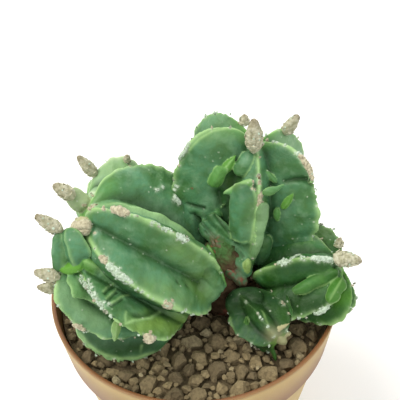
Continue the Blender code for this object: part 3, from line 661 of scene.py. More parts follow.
def lobe(row):
    # a swollen plate: a sphere drawn long, squared off, tapered and, with a keel, ridged
    foot, tip, facing, width, thickness, square, taper, fresh, dry, keel, edging = row
    foot, tip = Vector(foot) * mm, Vector(tip) * mm
    along = (tip - foot).normalized()
    across = along.cross(Vector(facing)).normalized()
    facing = across.cross(along)
    half = (tip - foot).length / 2
    segments, rings = detailSpec["smoothness"]
    shadeFrom, shade = detailSpec["footShade"]
    deselectAll()
    bpy.ops.mesh.primitive_uv_sphere_add(segments=segments, ring_count=rings, radius=1.0)
    piece = bpy.context.object
    edge, deep = [], []
    for vert in piece.data.vertices:
        x, y, z = vert.co
        girth = math.sqrt(max(1e-6, 1 - z * z))
        x, y = x / girth, y / girth
        ridged = math.copysign(1 - abs(x), y)
        y = y + (ridged - y) * keel if abs(z) < 0.999 else 0.0
        full = max(0.0, 1 - abs(z) ** square) ** (1 / square)
        wide = full * (1 - taper * (z + 1) / 2) * width / 2 * mm
        thick = full ** 0.7 * (1 - taper * 0.5 * (z + 1) / 2) * thickness / 2 * mm
        # the pale edge runs along the sides, the far end and a sharp keel
        rim = max(abs(x), abs(z) - 0.1 if z > 0 else 0.0, abs(y) * 0.97 if keel > 0.6 else 0.0)
        edge.append(max(0.0, min(1.0, (rim - detailSpec["rimFrom"]) / detailSpec["rimFade"])) * edging)
        deep.append(max(0.0, -z - shadeFrom) * shade)
        vert.co = (foot + tip) / 2 + along * z * half + across * x * wide + facing * y * thick
    count = len(edge)
    for label, values in (("edge", edge), ("deep", deep), ("young", [fresh] * count), ("dry", [dry] * count)):
        setValues(piece, label, values)
    piece.data.update()
    dent(piece, detailSpec["ruffle"])
    faceOutwards(piece)
    bpy.ops.object.shade_smooth()
    return piece


def fuse(piece, parts):
    # one grown skin: voxels melt the lobes into the head, then each point takes its tints from the old mesh
    labels = ("edge", "deep", "young", "dry")
    old = joinAll(piece.name, [piece] + parts)
    for label in labels:
        if label not in old.data.attributes:
            old.data.attributes.new(label, "FLOAT", "POINT")
    places = [vert.co.copy() for vert in old.data.vertices]
    faces = [tuple(face.vertices) for face in old.data.polygons]
    surface = BVHTree.FromPolygons(places, faces)
    values = {label: [item.value for item in old.data.attributes[label].data] for label in labels}
    remesh = old.modifiers.new("melt", "REMESH")
    remesh.mode, remesh.voxel_size = "VOXEL", detailSpec["voxel"] * mm
    soften = old.modifiers.new("soften", "SMOOTH")
    soften.factor, soften.iterations = detailSpec["softening"]
    applyModifiers(old)
    tints = {label: [] for label in labels}
    for vert in old.data.vertices:
        spot, _, number, _ = surface.find_nearest(vert.co)
        corners = faces[number]
        shares = poly_3d_calc([places[corner] for corner in corners], spot)
        for label in labels:
            tints[label].append(sum(values[label][corner] * share for corner, share in zip(corners, shares)))
    for label in labels:
        setValues(old, label, tints[label])
    selectOnly(old)
    bpy.ops.object.shade_smooth()
    return old


def nearestOnLine(point, points):
    # distance from a point to a line of points
    best = 1e9
    for start, end in zip(points, points[1:]):
        way = end - start
        share = max(0.0, min(1.0, (point - start).dot(way) / way.length_squared))
        best = min(best, (point - start - way * share).length)
    return best


def nearLine(piece, points, width):
    # (vertex, falloff from 1 to 0) of the points near a line on the surface
    points = [Vector(point) * mm for point in points]
    centre = (points[0] + points[-1]) / 2
    reach = (points[0] - centre).length + width * 3.5 * mm
    for vert in piece.data.vertices:
        if (vert.co - centre).length < reach:
            away = nearestOnLine(vert.co, points) / (width * mm)
            if away < 2.5:
                yield vert, math.exp(-away * away)


def markSkin(piece, headName):
    # creases and swellings pressed into the flanks, each crease darkened with painted shade, then the tints,
    # painted shade among them
    marks = piece.data.attributes
    normals = [vert.normal.copy() for vert in piece.data.vertices]
    for label in ("pale", "warm", "corky"):
        marks.new(label, "FLOAT", "POINT")
    for points, width, height in detailSpec["strokes"].get(headName, []):
        for vert, press in list(nearLine(piece, points, width)):
            vert.co += normals[vert.index] * height * mm * press
            # a crease also gets painted shade
            if height < 0:
                spot = marks["deep"].data[vert.index]
                spot.value = max(spot.value, press)
    piece.data.update()
    for points, width, label, amount in detailSpec["tints"].get(headName, []):
        for vert, share in nearLine(piece, points, width):
            spot = marks[label].data[vert.index]
            spot.value = max(spot.value, amount * share)


def markWool(piece, headName, tufts):
    # how near each point is to wool, for the felt round it, and to a scar
    sizes = [min(1.0, size * woolSpec["feltReach"]) for _, _, size, _ in tufts]
    scars = [(Vector(spot), size) for spot, size in detailSpec["scars"].get(headName, [])]
    tree = KDTree(len(tufts))
    for number, tuft in enumerate(tufts):
        tree.insert(tuft[0], number)
    tree.balance()
    scurf, scar = [], []
    for vert in piece.data.vertices:
        _, number, away = tree.find(vert.co)
        scurf.append(math.exp(-(away / (sizes[number] * mm)) ** 2))
        scar.append(max((1 - (vert.co / mm - spot).length / size for spot, size in scars), default=0.0))
    setValues(piece, "scurf", scurf)
    setValues(piece, "scar", scar)


# Areoles and wool

woolSpec = {
    "spacing": 5.0, "size": (0.30, 0.45), "flat": 0.6, "perMm2": 2.6, "speck": 0.13, "seed": 5,
    "padFrom": 1.5, "padStep": 0.35, "stray": 0.25, "matted": 1.15,
    "crest": (13, 98),  # hundredths of the way up where areoles grow
    "tuftSeeds": (3, 8, 14), "bristles": 5, "padSeeds": (4, 9), "padSize": 0.7,  # mm: larger tufts are pads
    "feltReach": 1.3, "spinSeed": 77,
    # runs of wool along a rib's crest: (rib, from, to, width in mm, tone)
    "runs": {"stem_top": [
        (1, 0.69, 0.81, 2.4, "cream"), (1, 0.8, 0.83, 2, "white"), (0, 0.63, 0.695, 2.4, "cream"),
        (4, 0.64, 0.72, 1.6, "white"), (1, 0.93, 0.96, 1.2, "white"), (0, 0.74, 0.8, 1.1, "cream"),
        (0, 0.15, 0.19, 1.6, "white"),
    ], "stem_left": [
        (0, 0.715, 0.785, 2.6, "cream"), (0, 0.585, 0.62, 1, "white"), (0, 0.53, 0.572, 1.2, "white"),
        (0, 0.465, 0.51, 1.9, "white"), (4, 0.655, 0.77, 2.6, "white"), (4, 0.785, 0.815, 2.2, "cream"),
        (4, 0.46, 0.5, 2.4, "cream"), (4, 0.385, 0.4, 1.2, "white"), (0, 0.1, 0.13, 1.2, "white"),
        (4, 0.55, 0.6, 0.4, "white"),
    ], "stem_front": [
        (4, 0.66, 0.93, 0.9, "white"), (3, 0.51, 0.56, 2.6, "cream"), (4, 0.37, 0.42, 2.6, "cream"),
    ], "stem_right": [
        (4, 0.48, 0.54, 1.6, "white"), (4, 0.62, 0.65, 1.4, "white"), (4, 0.7, 0.88, 1.9, "white"),
        (0, 0.6, 0.7, 1.7, "white"), (0, 0.48, 0.5, 1.2, "white"),
    ], "stem_small": [
        (0, 0.62, 0.78, 0.5, "white"), (4, 0.45, 0.62, 1.3, "cream"),
    ]},
    # wool off the crests: (points in mm, width, tone)
    "lines": {"stem_top": [
        (((-4.6, 9.2, 110), (-4.4, 8.6, 108.8)), 1.3, "white"),
        (((18.2, 1.5, 118), (18.6, 0.5, 115.5)), 1.2, "cream"),
    ], "stem_left": [
        (((-32, -11.5, 115.2), (-28.4, -11.5, 115.4)), 2.8, "cream"),
        (((-31.8, -12.5, 113.8), (-28.8, -12.5, 113.8)), 2.6, "cream"),
        (((-30.5, -3, 114.5), (-27, -3, 114.2)), 1.4, "cream"),
        (((-4.6, 6.6, 107.6), (-3.2, 6.2, 106.4)), 1.7, "white"),
        (((-10.4, 6.2, 111.2), (-6.6, 9.4, 110.4)), 0.25, "white"),
    ], "stem_front": [
        (((-32, -20.5, 103.5), (-28.5, -26.5, 104.5), (-26, -30.5, 104.5)), 0.8, "white"),
        (((-28.8, -22.5, 105.5), (-27.5, -25.5, 105.7), (-26.3, -28.5, 105.3)), 1, "white"),
        (((-24.2, -30.5, 104.6), (-22, -31, 104.8)), 0.35, "white"),
    ], "stem_right": [
        (((31, -8, 98), (28.5, -11, 98.5)), 1.2, "white"),
    ]},
}


def lumpModel(subdivisions, offset, uniform, normal, seed):
    # a sphere of radius 1 pushed out of shape
    deselectAll()
    bpy.ops.mesh.primitive_ico_sphere_add(subdivisions=subdivisions, radius=1.0)
    lump = bpy.context.object
    bpy.ops.object.mode_set(mode="EDIT")
    bpy.ops.mesh.select_all(action="SELECT")
    bpy.ops.transform.vertex_random(offset=offset, uniform=uniform, normal=normal, seed=seed)
    bpy.ops.object.mode_set(mode="OBJECT")
    return lump


def tuftModel(seed):
    # a felted lump with a few stiff hairs, about 1 in radius, modelled once
    parts = [lumpModel(1, 0.3, 0.4, 0.6, seed)]
    chance = random.Random(seed)
    for _ in range(woolSpec["bristles"]):
        tilt = Matrix.Rotation(chance.uniform(0.2, 1.4), 4, "X")
        turn = Matrix.Rotation(chance.uniform(0, math.tau), 4, "Z")
        deselectAll()
        bpy.ops.mesh.primitive_cone_add(vertices=3, radius1=0.13, radius2=0.0, depth=1.3)
        hair = bpy.context.object
        hair.matrix_world = turn @ tilt @ Matrix.Translation((0, 0, 1.2))
        parts.append(hair)
    return joinAll("tuft", parts)


def padModel(seed):
    # a matted pad of felt, about 1 in radius
    pad = lumpModel(2, 0.12, 0.2, 0.8, seed)
    bpy.ops.object.shade_smooth()
    return joinAll("pad", [pad])


def standingOn(place, normal, size, flat, spin):
    # a transform that stands a model on the surface
    turn = normal.to_track_quat("Z", "Y").to_matrix().to_4x4()
    scale = Matrix.Diagonal((size, size, size * flat, 1))
    return Matrix.Translation(place) @ turn @ Matrix.Rotation(spin, 4, "Z") @ scale


def speckled(tone, chance):
    # cream wool has brown specks in it
    return "brown" if tone == "cream" and chance.random() < woolSpec["speck"] else tone


def woolRun(head, crest, seed, start, end, width, tone, chance):
    # many small tufts felted together along a stretch of crest
    first, last = [crestSpot(head, crest, share * math.pi, seed)[0] for share in (start, end)]
    along = (last - first).normalized()
    area = max(1.0, (last - first).length / mm) * width
    pitch = woolSpec["padStep"]
    tufts = []
    if width >= woolSpec["padFrom"]:
        for step in range(round((last - first).length / mm / width / pitch) + 1):
            share = start + (end - start) * min(1.0, step * pitch * width * mm / (last - first).length)
            place, out = crestSpot(head, crest, share * math.pi, seed)
            taper = 0.7 + 0.3 * math.sin(math.pi * (share - start) / (end - start))
            sway = along.cross(out) * chance.uniform(-0.1, 0.1) * width * mm
            tufts.append((place + sway, out, width * 0.5 * taper * chance.uniform(0.9, 1.1), tone))
    for _ in range(round(area * woolSpec["perMm2"])):
        share = chance.uniform(start, end)
        taper = 0.5 + 0.5 * math.sin(math.pi * (share - start) / (end - start))
        across = chance.gauss(0, 0.32) * width * taper
        place, out = crestSpot(head, crest, share * math.pi, seed)
        sunk = out * (abs(across) * 0.55 - chance.uniform(-0.1, 0.35)) * mm
        place = place + along.cross(out) * across * mm - sunk
        kind = speckled(tone, chance)
        tufts.append((place, out, chance.uniform(*woolSpec["size"]) * woolSpec["matted"], kind))
    return tufts


def areolesOf(headName, piece):
    # (place, way out, size, tone) for every areole and wool patch of a head
    head = headShape[headName]
    crests = crestsOf(head)
    ribs = [("rib", *rib) for rib in head["ribs"]]
    chance = random.Random(woolSpec["seed"] + len(headName) * 7)
    tufts = []
    for crest in ribs:
        seed = crests.index(crest)
        way = 0.0
        last = crestSpot(head, crest, 0.12 * math.pi, seed)[0]
        nextAt = woolSpec["spacing"] * chance.uniform(0.2, 0.9)
        for step in range(*woolSpec["crest"]):
            share = step / 100
            place, out = crestSpot(head, crest, share * math.pi, seed)
            way += (place - last).length / mm
            last = place
            if way >= nextAt:
                nextAt = way + woolSpec["spacing"] * chance.uniform(0.8, 1.2)
                tone = chance.choice(("cream", "grey", "white"))
                for _ in range(chance.choice((1, 2, 3))):
                    stray = anyWay(chance) * woolSpec["stray"] * mm
                    size = chance.uniform(*woolSpec["size"]) * (0.7 + 0.5 * share)
                    tufts.append((place + stray, out, size, tone))
    for rib, start, end, width, tone in woolSpec["runs"].get(headName, []):
        tufts += woolRun(head, ribs[rib], crests.index(ribs[rib]), start, end, width, tone, chance)
    tree = BVHTree.FromObject(piece, bpy.context.evaluated_depsgraph_get())
    for points, width, tone in woolSpec["lines"].get(headName, []):
        tufts += woolLine(tree, points, width, tone, chance)
    return tufts


def woolLine(tree, points, width, tone, chance):
    # the same off the crests, along a line laid on the skin
    points = [Vector(point) * mm for point in points]
    tufts = []
    for start, end in zip(points, points[1:]):
        area = max(1.0, (end - start).length / mm) * width
        if width >= woolSpec["padFrom"]:
            steps = round((end - start).length / mm / width / woolSpec["padStep"]) + 1
            for step in range(steps + 1):
                place, normal, _, _ = tree.find_nearest(start.lerp(end, step / steps))
                tufts.append((place, normal, width * 0.5 * chance.uniform(0.9, 1.1), tone))
        for _ in range(round(area * woolSpec["perMm2"])):
            stray = anyWay(chance) * width * 0.28 * mm
            place, normal, _, _ = tree.find_nearest(start.lerp(end, chance.random()) + stray)
            kind = speckled(tone, chance)
            tufts.append((place, normal, chance.uniform(*woolSpec["size"]) * woolSpec["matted"], kind))
    return tufts


# Buds: the dried ends of old flowers, covered in narrow scales

budSpec = {
    # (share of the radius, share of the length)
    "rings": ((0.50, -0.10), (0.80, 0.02), (0.96, 0.14), (1.0, 0.30), (0.92, 0.48), (0.72, 0.66),
              (0.44, 0.83), (0.16, 0.97)),
    "scalesPerMm": 5.5, "turn": 2.39996,  # the golden angle sets each scale between those before it
    "core": 0.90, "sides": 20, "dents": ((1.2, 0.25),), "wool": 14, "seed": 31,
    "reach": (0.75, 1.05), "lean": (0.06, 0.26), "twist": 0.25,  # of a scale: radii, then radians
    "burntFrom": 0.75,  # share of the length
    # (head, foot, tip, radius) in mm
    "list": [
        ("stem_top", (19.3, 10.8, 121.9), (19.2, 11.2, 132.0), 2.75),
        ("stem_top", (29.9, 21.8, 118.8), (33.6, 22.6, 124.6), 2.1),
        ("stem_top", (17.1, 21.0, 123.0), (17.3, 21.2, 126.6), 1.7),
        ("stem_left", (-33.1, -1.0, 117.0), (-38.2, 0.0, 120.9), 2.2),
        ("stem_rear", (-29.8, 20.4, 107.0), (-34.4, 22.4, 113.1), 2.1),
        ("stem_rear", (-19.5, 24.0, 108.2), (-19.2, 23.4, 111.6), 1.3),
        ("stem_front", (-36.1, -11.7, 114.2), (-41.8, -11.5, 120.0), 2.1),
        ("stem_front", (-37.8, -18.4, 102.6), (-44.0, -18.4, 105.2), 2.1),
        ("stem_front", (-38.8, -17.6, 96.8), (-44.4, -18.0, 98.4), 1.8),
        ("stem_right", (41.4, -11.6, 97.7), (49.0, -13.0, 97.4), 2.5),
        ("stem_right", (43.9, -3.1, 93.8), (44.1, -2.9, 97.1), 1.5),
    ],
}


def budWidth(share):
    rings = budSpec["rings"]
    for (wide, low), (narrow, high) in zip(rings, rings[1:]):
        if low <= share <= high:
            return wide + (narrow - wide) * (share - low) / (high - low)
    return rings[0][0] if share < rings[0][1] else 0.05


def scaleModel():
    # one narrow keeled scale, 1 long, standing on its foot
    deselectAll()
    bpy.ops.mesh.primitive_cone_add(
        vertices=4, radius1=0.36, radius2=0.34, depth=0.55, location=(0, 0, 0.275))
    piece = bpy.context.object
    bpy.ops.object.mode_set(mode="EDIT")
    bpy.ops.mesh.select_all(action="DESELECT")
    mesh = bmesh.from_edit_mesh(piece.data)
    for face in mesh.faces:
        face.select = face.normal.z > 0.9
    bmesh.update_edit_mesh(piece.data)
    bpy.ops.mesh.extrude_region_move(TRANSFORM_OT_translate={"value": (0, 0, 0.45)})
    bpy.ops.transform.resize(value=(0.08, 0.08, 1.0))
    bpy.ops.mesh.select_all(action="SELECT")
    bpy.ops.transform.resize(value=(1.0, 0.32, 1.0))
    bpy.ops.object.mode_set(mode="OBJECT")
    return joinAll("scaleModel", [piece])


def bud(number, row, scale, tufts):
    # a core set round with scales, its wool added to the tufts
    headName, foot, tip, radius = row
    foot, way = Vector(foot) * mm, (Vector(tip) - Vector(foot)) * mm
    length = way.length / mm
    stand = Matrix.Translation(foot) @ way.to_track_quat("Z", "Y").to_matrix().to_4x4()
    chance = random.Random(budSpec["seed"] + number)
    coreRings = [(wide * radius * budSpec["core"], high * length) for wide, high in budSpec["rings"]]
    core = turnedForm("core", coreRings, budSpec["sides"])
    dent(core, budSpec["dents"])
    parts = [core]
    count = round(budSpec["scalesPerMm"] * length)
    for index in range(count):
        along = -0.04 + (index + 0.5) / count * 0.90
        spin = index * budSpec["turn"] + chance.uniform(-budSpec["twist"], budSpec["twist"])
        wide = budWidth(along) * radius * budSpec["core"]
        slope = (budWidth(along + 0.06) - budWidth(along)) * radius / (0.06 * length)
        reach = min(radius * chance.uniform(*budSpec["reach"]), (1.04 - along) * length) * mm
        lean = math.atan(slope) + chance.uniform(*budSpec["lean"])
        place = Matrix.Rotation(spin, 4, "Z")
        place = place @ Matrix.Translation((0, -wide * 0.95 * mm, along * length * mm))
        place = place @ Matrix.Rotation(lean, 4, "X") @ Matrix.Diagonal((reach, reach, reach, 1))
        parts.append(copyOf(scale, place))
    for _ in range(round(budSpec["wool"] * length / 10)):
        along, spin = chance.uniform(0.0, 0.75), chance.uniform(0, math.tau)
        outward = Vector((math.cos(spin), math.sin(spin), 0.2))
        spot = outward * budWidth(along) * radius * 0.95 * mm + Vector((0, 0, along * length * mm))
        tufts.append((headName, stand @ spot, stand.to_3x3() @ outward, chance.uniform(0.22, 0.4)))
    # the bud and its scales are burnt at their tips
    tips = [max(0.0, vert.co.z / (length * mm) - budSpec["burntFrom"]) * 3 for vert in core.data.vertices]
    for index, part in enumerate(parts[1:]):
        age = max(0.0, index / count - 0.5) * 1.3
        tips += [1.0 if vert.index > 7 else age for vert in part.data.vertices]
    piece = joinAll("bud", parts)
    setValues(piece, "tip", tips)
    piece.matrix_world = stand
    return piece


def makeBuds(material):
    # returns the wool that sits among the scales
    scale = scaleModel()
    byHead, tufts = {}, []
    for number, row in enumerate(budSpec["list"]):
        byHead.setdefault(row[0], []).append(bud(number, row, scale, tufts))
    for headName, parts in byHead.items():
        dress(joinAll("buds_" + headName, parts), material, "skin")
    bpy.data.objects.remove(scale)
    return tufts


# Corky base

corkSpec = {
    "centre": (9.0, -3.0), "sides": 96, "ringStep": 0.8, "trim": 0.4,  # mm
    "grain": (2.2, 0.5),  # (size, depth) in mm
    "ledges": 0.3, "ledgePitch": 2.4, "ribs": 5, "ribDepth": 0.13, "turn": 0.05,
    # (radius, height) in mm
    "rings": ((1.2, 34), (2.6, 44), (4.0, 54), (5.6, 63), (7.0, 69), (7.8, 73), (8.4, 76), (8.7, 79),
              (8.8, 82), (8.6, 85), (8.3, 88), (7.7, 91), (6.6, 94), (4.6, 96.5), (1.0, 98)),
    "greenFrom": 89.0, "greenTo": 105.0,  # mm: where old skin takes over from cork
}


def makeCork(material):
    # a turned form, roughened by grain, ledges and the worn feet of the ribs
    spec = corkSpec
    rings = []
    for (radius, height), (wider, higher) in zip(spec["rings"], spec["rings"][1:]):
        steps = max(1, round((higher - height) / spec["ringStep"]))
        rings += [(radius + (wider - radius) * step / steps, height + (higher - height) * step / steps)
                  for step in range(steps)]
    piece = turnedForm("corkyBase", rings + [spec["rings"][-1]], spec["sides"], spec["centre"])
    for vert in piece.data.vertices:
        out = Vector((vert.co.x - spec["centre"][0] * mm, vert.co.y - spec["centre"][1] * mm, 0))
        if out.length < 0.3 * mm:
            continue
        rough = noise.turbulence(vert.co / (spec["grain"][0] * 2 * mm), 4, False) - 0.5
        around = math.atan2(out.y, out.x) + spec["turn"] * vert.co.z / mm
        rib = (abs(math.cos(around * spec["ribs"] / 2)) - 0.6) * spec["ribDepth"] * out.length / mm
        ledge = math.sin(vert.co.z / mm * spec["ledgePitch"] + 2.5 * noise.noise(vert.co / (4 * mm)))
        push = rough * spec["grain"][1] * 2 + ledge * spec["ledges"] + rib - spec["trim"]
        vert.co += out.normalized() * push * min(1.0, out.length / (6 * mm)) * mm
    low, high = spec["greenFrom"], spec["greenTo"]
    green = [max(0.0, min(1.0, (vert.co.z / mm - low) / (high - low))) for vert in piece.data.vertices]
    setValues(piece, "green", green)
    selectOnly(piece)
    bpy.ops.object.shade_smooth()
    return dress(piece, material, "cork", "corky_base")


# Gravel

gravelSpec = {
    "bed": 71.8, "radius": 42.9, "hole": 9.0, "models": 10, "seed": 23, "tries": 25,
    "bedRings": ((42.4, 67.9), (42.9, 71.3)), "bedSides": 96, "bedTone": 0.1,
    "cuts": 8, "cutAt": (0.50, 0.78),  # flat faces of a stone, and how far out they lie
    "squash": ((0.75, 1.0), (0.6, 0.85)), "roughness": 0.04, "wornAngle": 24,
    "dropped": (-0.3, 0.5), "lean": 0.7,  # mm up or down, and radians aslant
    "layers": (  # (count, smallest, largest, height over the bed, spread) in mm
        (130, 2.5, 3.9, 0.9, 0.80),
        (420, 1.4, 2.4, 1.6, 0.76),
        (520, 0.8, 1.4, 2.0, 0.80),
    ),
}


def stoneModel(number):
    # an angular crushed stone of radius 1: a sphere cut flat on a few sides and worn at its edges
    spec = gravelSpec
    deselectAll()
    bpy.ops.mesh.primitive_ico_sphere_add(subdivisions=2, radius=1.0)
    stone = bpy.context.object
    chance = random.Random(100 + number)
    bpy.ops.object.mode_set(mode="EDIT")
    for _ in range(spec["cuts"]):
        bpy.ops.mesh.select_all(action="SELECT")
        way = anyWay(chance).normalized()
        bpy.ops.mesh.bisect(
            plane_co=way * chance.uniform(*spec["cutAt"]), plane_no=way, use_fill=True, clear_outer=True)
    bpy.ops.mesh.select_all(action="SELECT")
    bpy.ops.mesh.remove_doubles(threshold=0.05)
    bpy.ops.mesh.convex_hull()
    bpy.ops.mesh.select_all(action="SELECT")
    bpy.ops.transform.resize(value=(1.0, *[chance.uniform(*span) for span in spec["squash"]]))
    bpy.ops.transform.vertex_random(offset=spec["roughness"], seed=number)
    bpy.ops.object.mode_set(mode="OBJECT")
    bpy.ops.object.shade_smooth_by_angle(angle=math.radians(spec["wornAngle"]))
    return joinAll("stoneModel", [stone])


def makeGravel(material, skinPieces):
    # stones are thrown in at random, large ones first, and kept where they meet nothing
    spec = gravelSpec
    chance = random.Random(spec["seed"])
    models = [stoneModel(number) for number in range(spec["models"])]
    trees = [BVHTree.FromObject(piece, bpy.context.evaluated_depsgraph_get()) for piece in skinPieces]
    centre = Vector((corkSpec["centre"][0], corkSpec["centre"][1], 0)) * mm
    placed, stones, tones = [], [], []
    for count, small, large, over, spread in spec["layers"]:
        made = 0
        for _ in range(count * spec["tries"]):
            if made == count:
                break
            radius = chance.uniform(small, large) * mm
            away = (spec["radius"] * mm - radius * 0.9) * math.sqrt(chance.random())
            angle = chance.uniform(0, math.tau)
            level = (spec["bed"] + over) * mm + chance.uniform(*spec["dropped"]) * mm
            place = Vector((away * math.cos(angle), away * math.sin(angle), level))
            if (place - centre).xy.length < spec["hole"] * mm + radius * 0.6:
                continue
            if any((place - other).length < (radius + size) * spread for other, size in placed):
                continue
            if any(tree.find_nearest(place, radius * 0.8)[0] for tree in trees):
                continue
            placed.append((place, radius))
            model = chance.choice(models)
            spin = Matrix.Rotation(chance.uniform(0, math.tau), 4, "Z")
            turn = spin @ Matrix.Rotation(chance.uniform(-spec["lean"], spec["lean"]), 4, "X")
            stand = Matrix.Translation(place) @ turn @ Matrix.Diagonal((radius, radius, radius, 1))
            stones.append(copyOf(model, stand))
            tones += [chance.random()] * len(model.data.vertices)
            made += 1
    print("stones:", len(stones))
    bed = turnedForm("bed", spec["bedRings"], spec["bedSides"])
    tones = [spec["bedTone"]] * len(bed.data.vertices) + tones
    piece = joinAll("gravel_stones", [bed] + stones)
    setValues(piece, "tone", tones)
    for model in models:
        bpy.data.objects.remove(model)
    return dress(piece, material, "gravel", "gravel")


# Pot

potSpec = {
    "sides": 160, "height": 78.0, "rim": 45.5, "wall": 1.4, "collar": 16.0, "taper": 7.0, "step": 1.6,
    "foot": 31.5, "floor": 2.0, "holes": 6, "holeRadius": 3.2, "holeCircle": 19.0, "lip": 0.4,
    "rimShadeTones": ((0.05, 0.8), (0.2, 0.7), (1.0, 0.45)),  # (mm below the rim, how brown the painted shade is)
    "holeSides": 40, "edgeAngle": 35,  # edges sharper than this many degrees stay crisp
}


def makePot(material):
    spec = potSpec
    wall, lip, rim, high = spec["wall"], spec["lip"], spec["rim"], spec["height"]
    low = high - spec["collar"]  # the height where the collar starts
    collar = rim - spec["collar"] * math.tan(math.radians(spec["taper"]))
    waist = collar - spec["step"]
    outside = [
        (spec["foot"] - 0.5, 0.0), (spec["foot"], 0.4), (waist - 0.2, low - spec["step"] - 0.6),
        (waist + 0.1, low - spec["step"]), (collar - 0.15, low), (collar + 0.05, low + 0.5),
    ]
    edge = [
        (rim - 0.2, high - 1.5), (rim - 0.06, high - lip), (rim - lip * 0.35, high - lip * 0.2),
        (rim - lip, high), (rim - wall + lip, high), (rim - wall + lip * 0.2, high - lip * 0.4),
    ]
    inside = [
        (rim - wall, high - lip * 1.5), (collar - wall, low), (waist - wall, low - spec["step"]),
        (spec["foot"] - wall + 0.2, spec["floor"]),
    ]
    piece = turnedForm("pot_shell", outside + edge + inside, spec["sides"])
    for number in range(spec["holes"]):
        angle = 2 * math.pi * (number + 0.5) / spec["holes"]
        around = Vector((math.cos(angle), math.sin(angle), 0))
        deselectAll()
        bpy.ops.mesh.primitive_cylinder_add(
            vertices=spec["holeSides"], radius=spec["holeRadius"] * mm, depth=spec["floor"] * 4 * mm,
            location=around * spec["holeCircle"] * mm)
        cutter = bpy.context.object
        cut = piece.modifiers.new("hole", "BOOLEAN")
        cut.operation, cut.solver, cut.object = "DIFFERENCE", "EXACT", cutter
        applyModifiers(piece)
        bpy.data.objects.remove(cutter)
    selectOnly(piece)
    bpy.ops.object.shade_smooth_by_angle(angle=math.radians(spec["edgeAngle"]))
    # the browner lip is painted shade: full on the inner wall, fading over the rim's top and its outer edge
    tints = []
    for vert in piece.data.vertices:
        within = vert.co.z > low * mm and vert.co.xy.length < (rim - wall * 0.55) * mm
        below = high - vert.co.z / mm
        outer = next((tone for depth, tone in spec["rimShadeTones"] if below < depth), 0.0)
        tints.append(1.0 if within else outer)
    setValues(piece, "lip", tints)
    return dress(piece, material, "pot", "pot")


# Camera, floor and light

cameraSpec = {
    "fieldOfView": 30.0, "distance": 214.8, "elevation": 41.95, "aim": (2.9, 0.0, 112.3), "roll": -2.66,
    "nearest": 5.0,  # mm
}
lightSpec = {
    "world": 0.76, "aim": (0, 0, 0.08),  # m
    "lights": (  # (name, place in m, size in m, power in W, colour)
        ("key", (-0.50, -0.05, 1.0), 0.6, 8.6, "#fffaf2"),
        ("fill", (0.80, -0.50, 0.60), 0.8, 2.0, "#fbfdff"),
        ("back", (0.25, 0.90, 0.70), 0.8, 4.0, "#ffffff"),
    ),
}


def makeCamera():
    spec = cameraSpec
    rise, roll = math.radians(spec["elevation"]), math.radians(spec["roll"])
    back = Vector((0, -math.cos(rise), math.sin(rise)))
    right = Vector((1, 0, 0))
    up = back.cross(right)
    rolledRight = right * math.cos(roll) + up * math.sin(roll)
    rolledUp = up * math.cos(roll) - right * math.sin(roll)
    place = Matrix((rolledRight, rolledUp, back)).transposed().to_4x4()
    place.translation = Vector(spec["aim"]) * mm + back * spec["distance"] * mm
    bpy.ops.object.camera_add()
    camera = bpy.context.object
    camera.matrix_world = place
    camera.data.angle = math.radians(spec["fieldOfView"])
    camera.data.clip_start = spec["nearest"] * mm
    scene.camera = camera


floorSpec = {"size": 6.0, "grainMm": 60.0, "light": "#fdfdfc", "dark": "#fafaf8"}  # the size in m


def makeFloor():
    # painted board: matt and near white, with a faint unevenness
    spec = floorSpec
    deselectAll()
    bpy.ops.mesh.primitive_plane_add(size=spec["size"])
    floor = bpy.context.object
    floor.name = "studioFloor"
    settings = {"Roughness": 0.8, "Specular IOR Level": 0.2}
    material, tree, grain = newMaterial("paintedBoard", settings, [("Noise", spec["grainMm"], {})])
    finishMaterial(material, paintLayers(tree, spec["dark"], [(grain, 0.0, 1.0, 1.0, spec["light"])]))
    floor.data.materials.append(material)


def makeLights():
    for name, place, size, power, colour in lightSpec["lights"]:
        bpy.ops.object.light_add(type="AREA", location=place)
        light = bpy.context.object
        light.name = name
        light.data.size = size
        light.data.energy = power
        light.data.color = hexColour(colour)[:3]
        way = Vector(lightSpec["aim"]) - Vector(place)
        light.rotation_euler = way.to_track_quat("-Z", "Y").to_euler()
    world = bpy.data.worlds.new("studio")
    scene.world = world
    world.use_nodes = True
    world.node_tree.nodes["Background"].inputs[0].default_value = (1, 1, 1, 1)
    world.node_tree.nodes["Background"].inputs[1].default_value = lightSpec["world"]
    scene.view_settings.view_transform = "Standard"
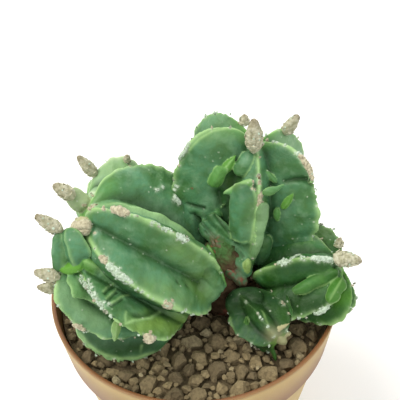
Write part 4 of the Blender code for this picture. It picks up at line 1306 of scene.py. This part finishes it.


# Each head with its wool

# heads that wear a changed copy of the waxy skin: paler for the rear head, painted shade for the right and
# small heads
headSkins = {"stem_rear": "paleSkin", "stem_right": "shadeSkin", "stem_small": "deepSkin"}
headNodes = {"stem_front": "stem_left"}  # the left head has divided, and its node has both crowns


def makeHead(headName, skins):
    # the skin of one head, with the (place, way out, size, tone) of its tufts
    piece = headPiece("skin_" + headName, headShape[headName])
    piece = fuse(piece, [lobe(row) for row in detailSpec["lobes"].get(headName, [])])
    markSkin(piece, headName)
    print(headName, "skin:", len(piece.data.polygons), "faces")
    tufts = areolesOf(headName, piece)
    markWool(piece, headName, tufts)
    material = skins[headSkins.get(headName, "waxySkin")]
    return dress(piece, material, "skin", headNodes.get(headName, headName)), tufts


def layWool(headName, tufts, wools, tuftModels, padModels, spin):
    # one piece for each tone of a head's wool
    for tone, material in wools.items():
        parts = []
        for place, out, size, kind in tufts:
            if kind == tone:
                stand = standingOn(place, out, size * mm, woolSpec["flat"], spin.uniform(0, math.tau))
                models = padModels if size > woolSpec["padSize"] else tuftModels
                parts.append(copyOf(spin.choice(models), stand))
        if parts:
            dress(joinAll("wool_" + tone + "_" + headName, parts), material, "skin")


makeCamera()
makeFloor()
makeLights()
print("camera, floor and light done")

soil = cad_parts["soil"]
soil.data.materials.clear()
soil.data.materials.append(soilMaterial())
makePot(potMaterial())
print("pot done")
makeCork(corkMaterial())
print("corky base done")

budTufts = makeBuds(budMaterial())
print("buds done")

skins = {name: skinMaterial(name, {**skinLooks["waxySkin"], **look}) for name, look in skinLooks.items()}
wools = {tone: woolMaterial(tone + "Wool", light, dark) for tone, (light, dark) in woolTones.items()}
tuftModels = [tuftModel(seed) for seed in woolSpec["tuftSeeds"]]
padModels = [padModel(seed) for seed in woolSpec["padSeeds"]]
spin = random.Random(woolSpec["spinSeed"])
skinPieces = []
for headName in headShape:
    piece, tufts = makeHead(headName, skins)
    skinPieces.append(piece)
    tufts += [(place, out, size, "white") for name, place, out, size in budTufts if name == headName]
    layWool(headName, tufts, wools, tuftModels, padModels, spin)
    print(headName, "done,", len(tufts), "tufts")
for model in tuftModels + padModels:
    bpy.data.objects.remove(model)
makeGravel(stoneMaterial(), skinPieces)
print("gravel done")
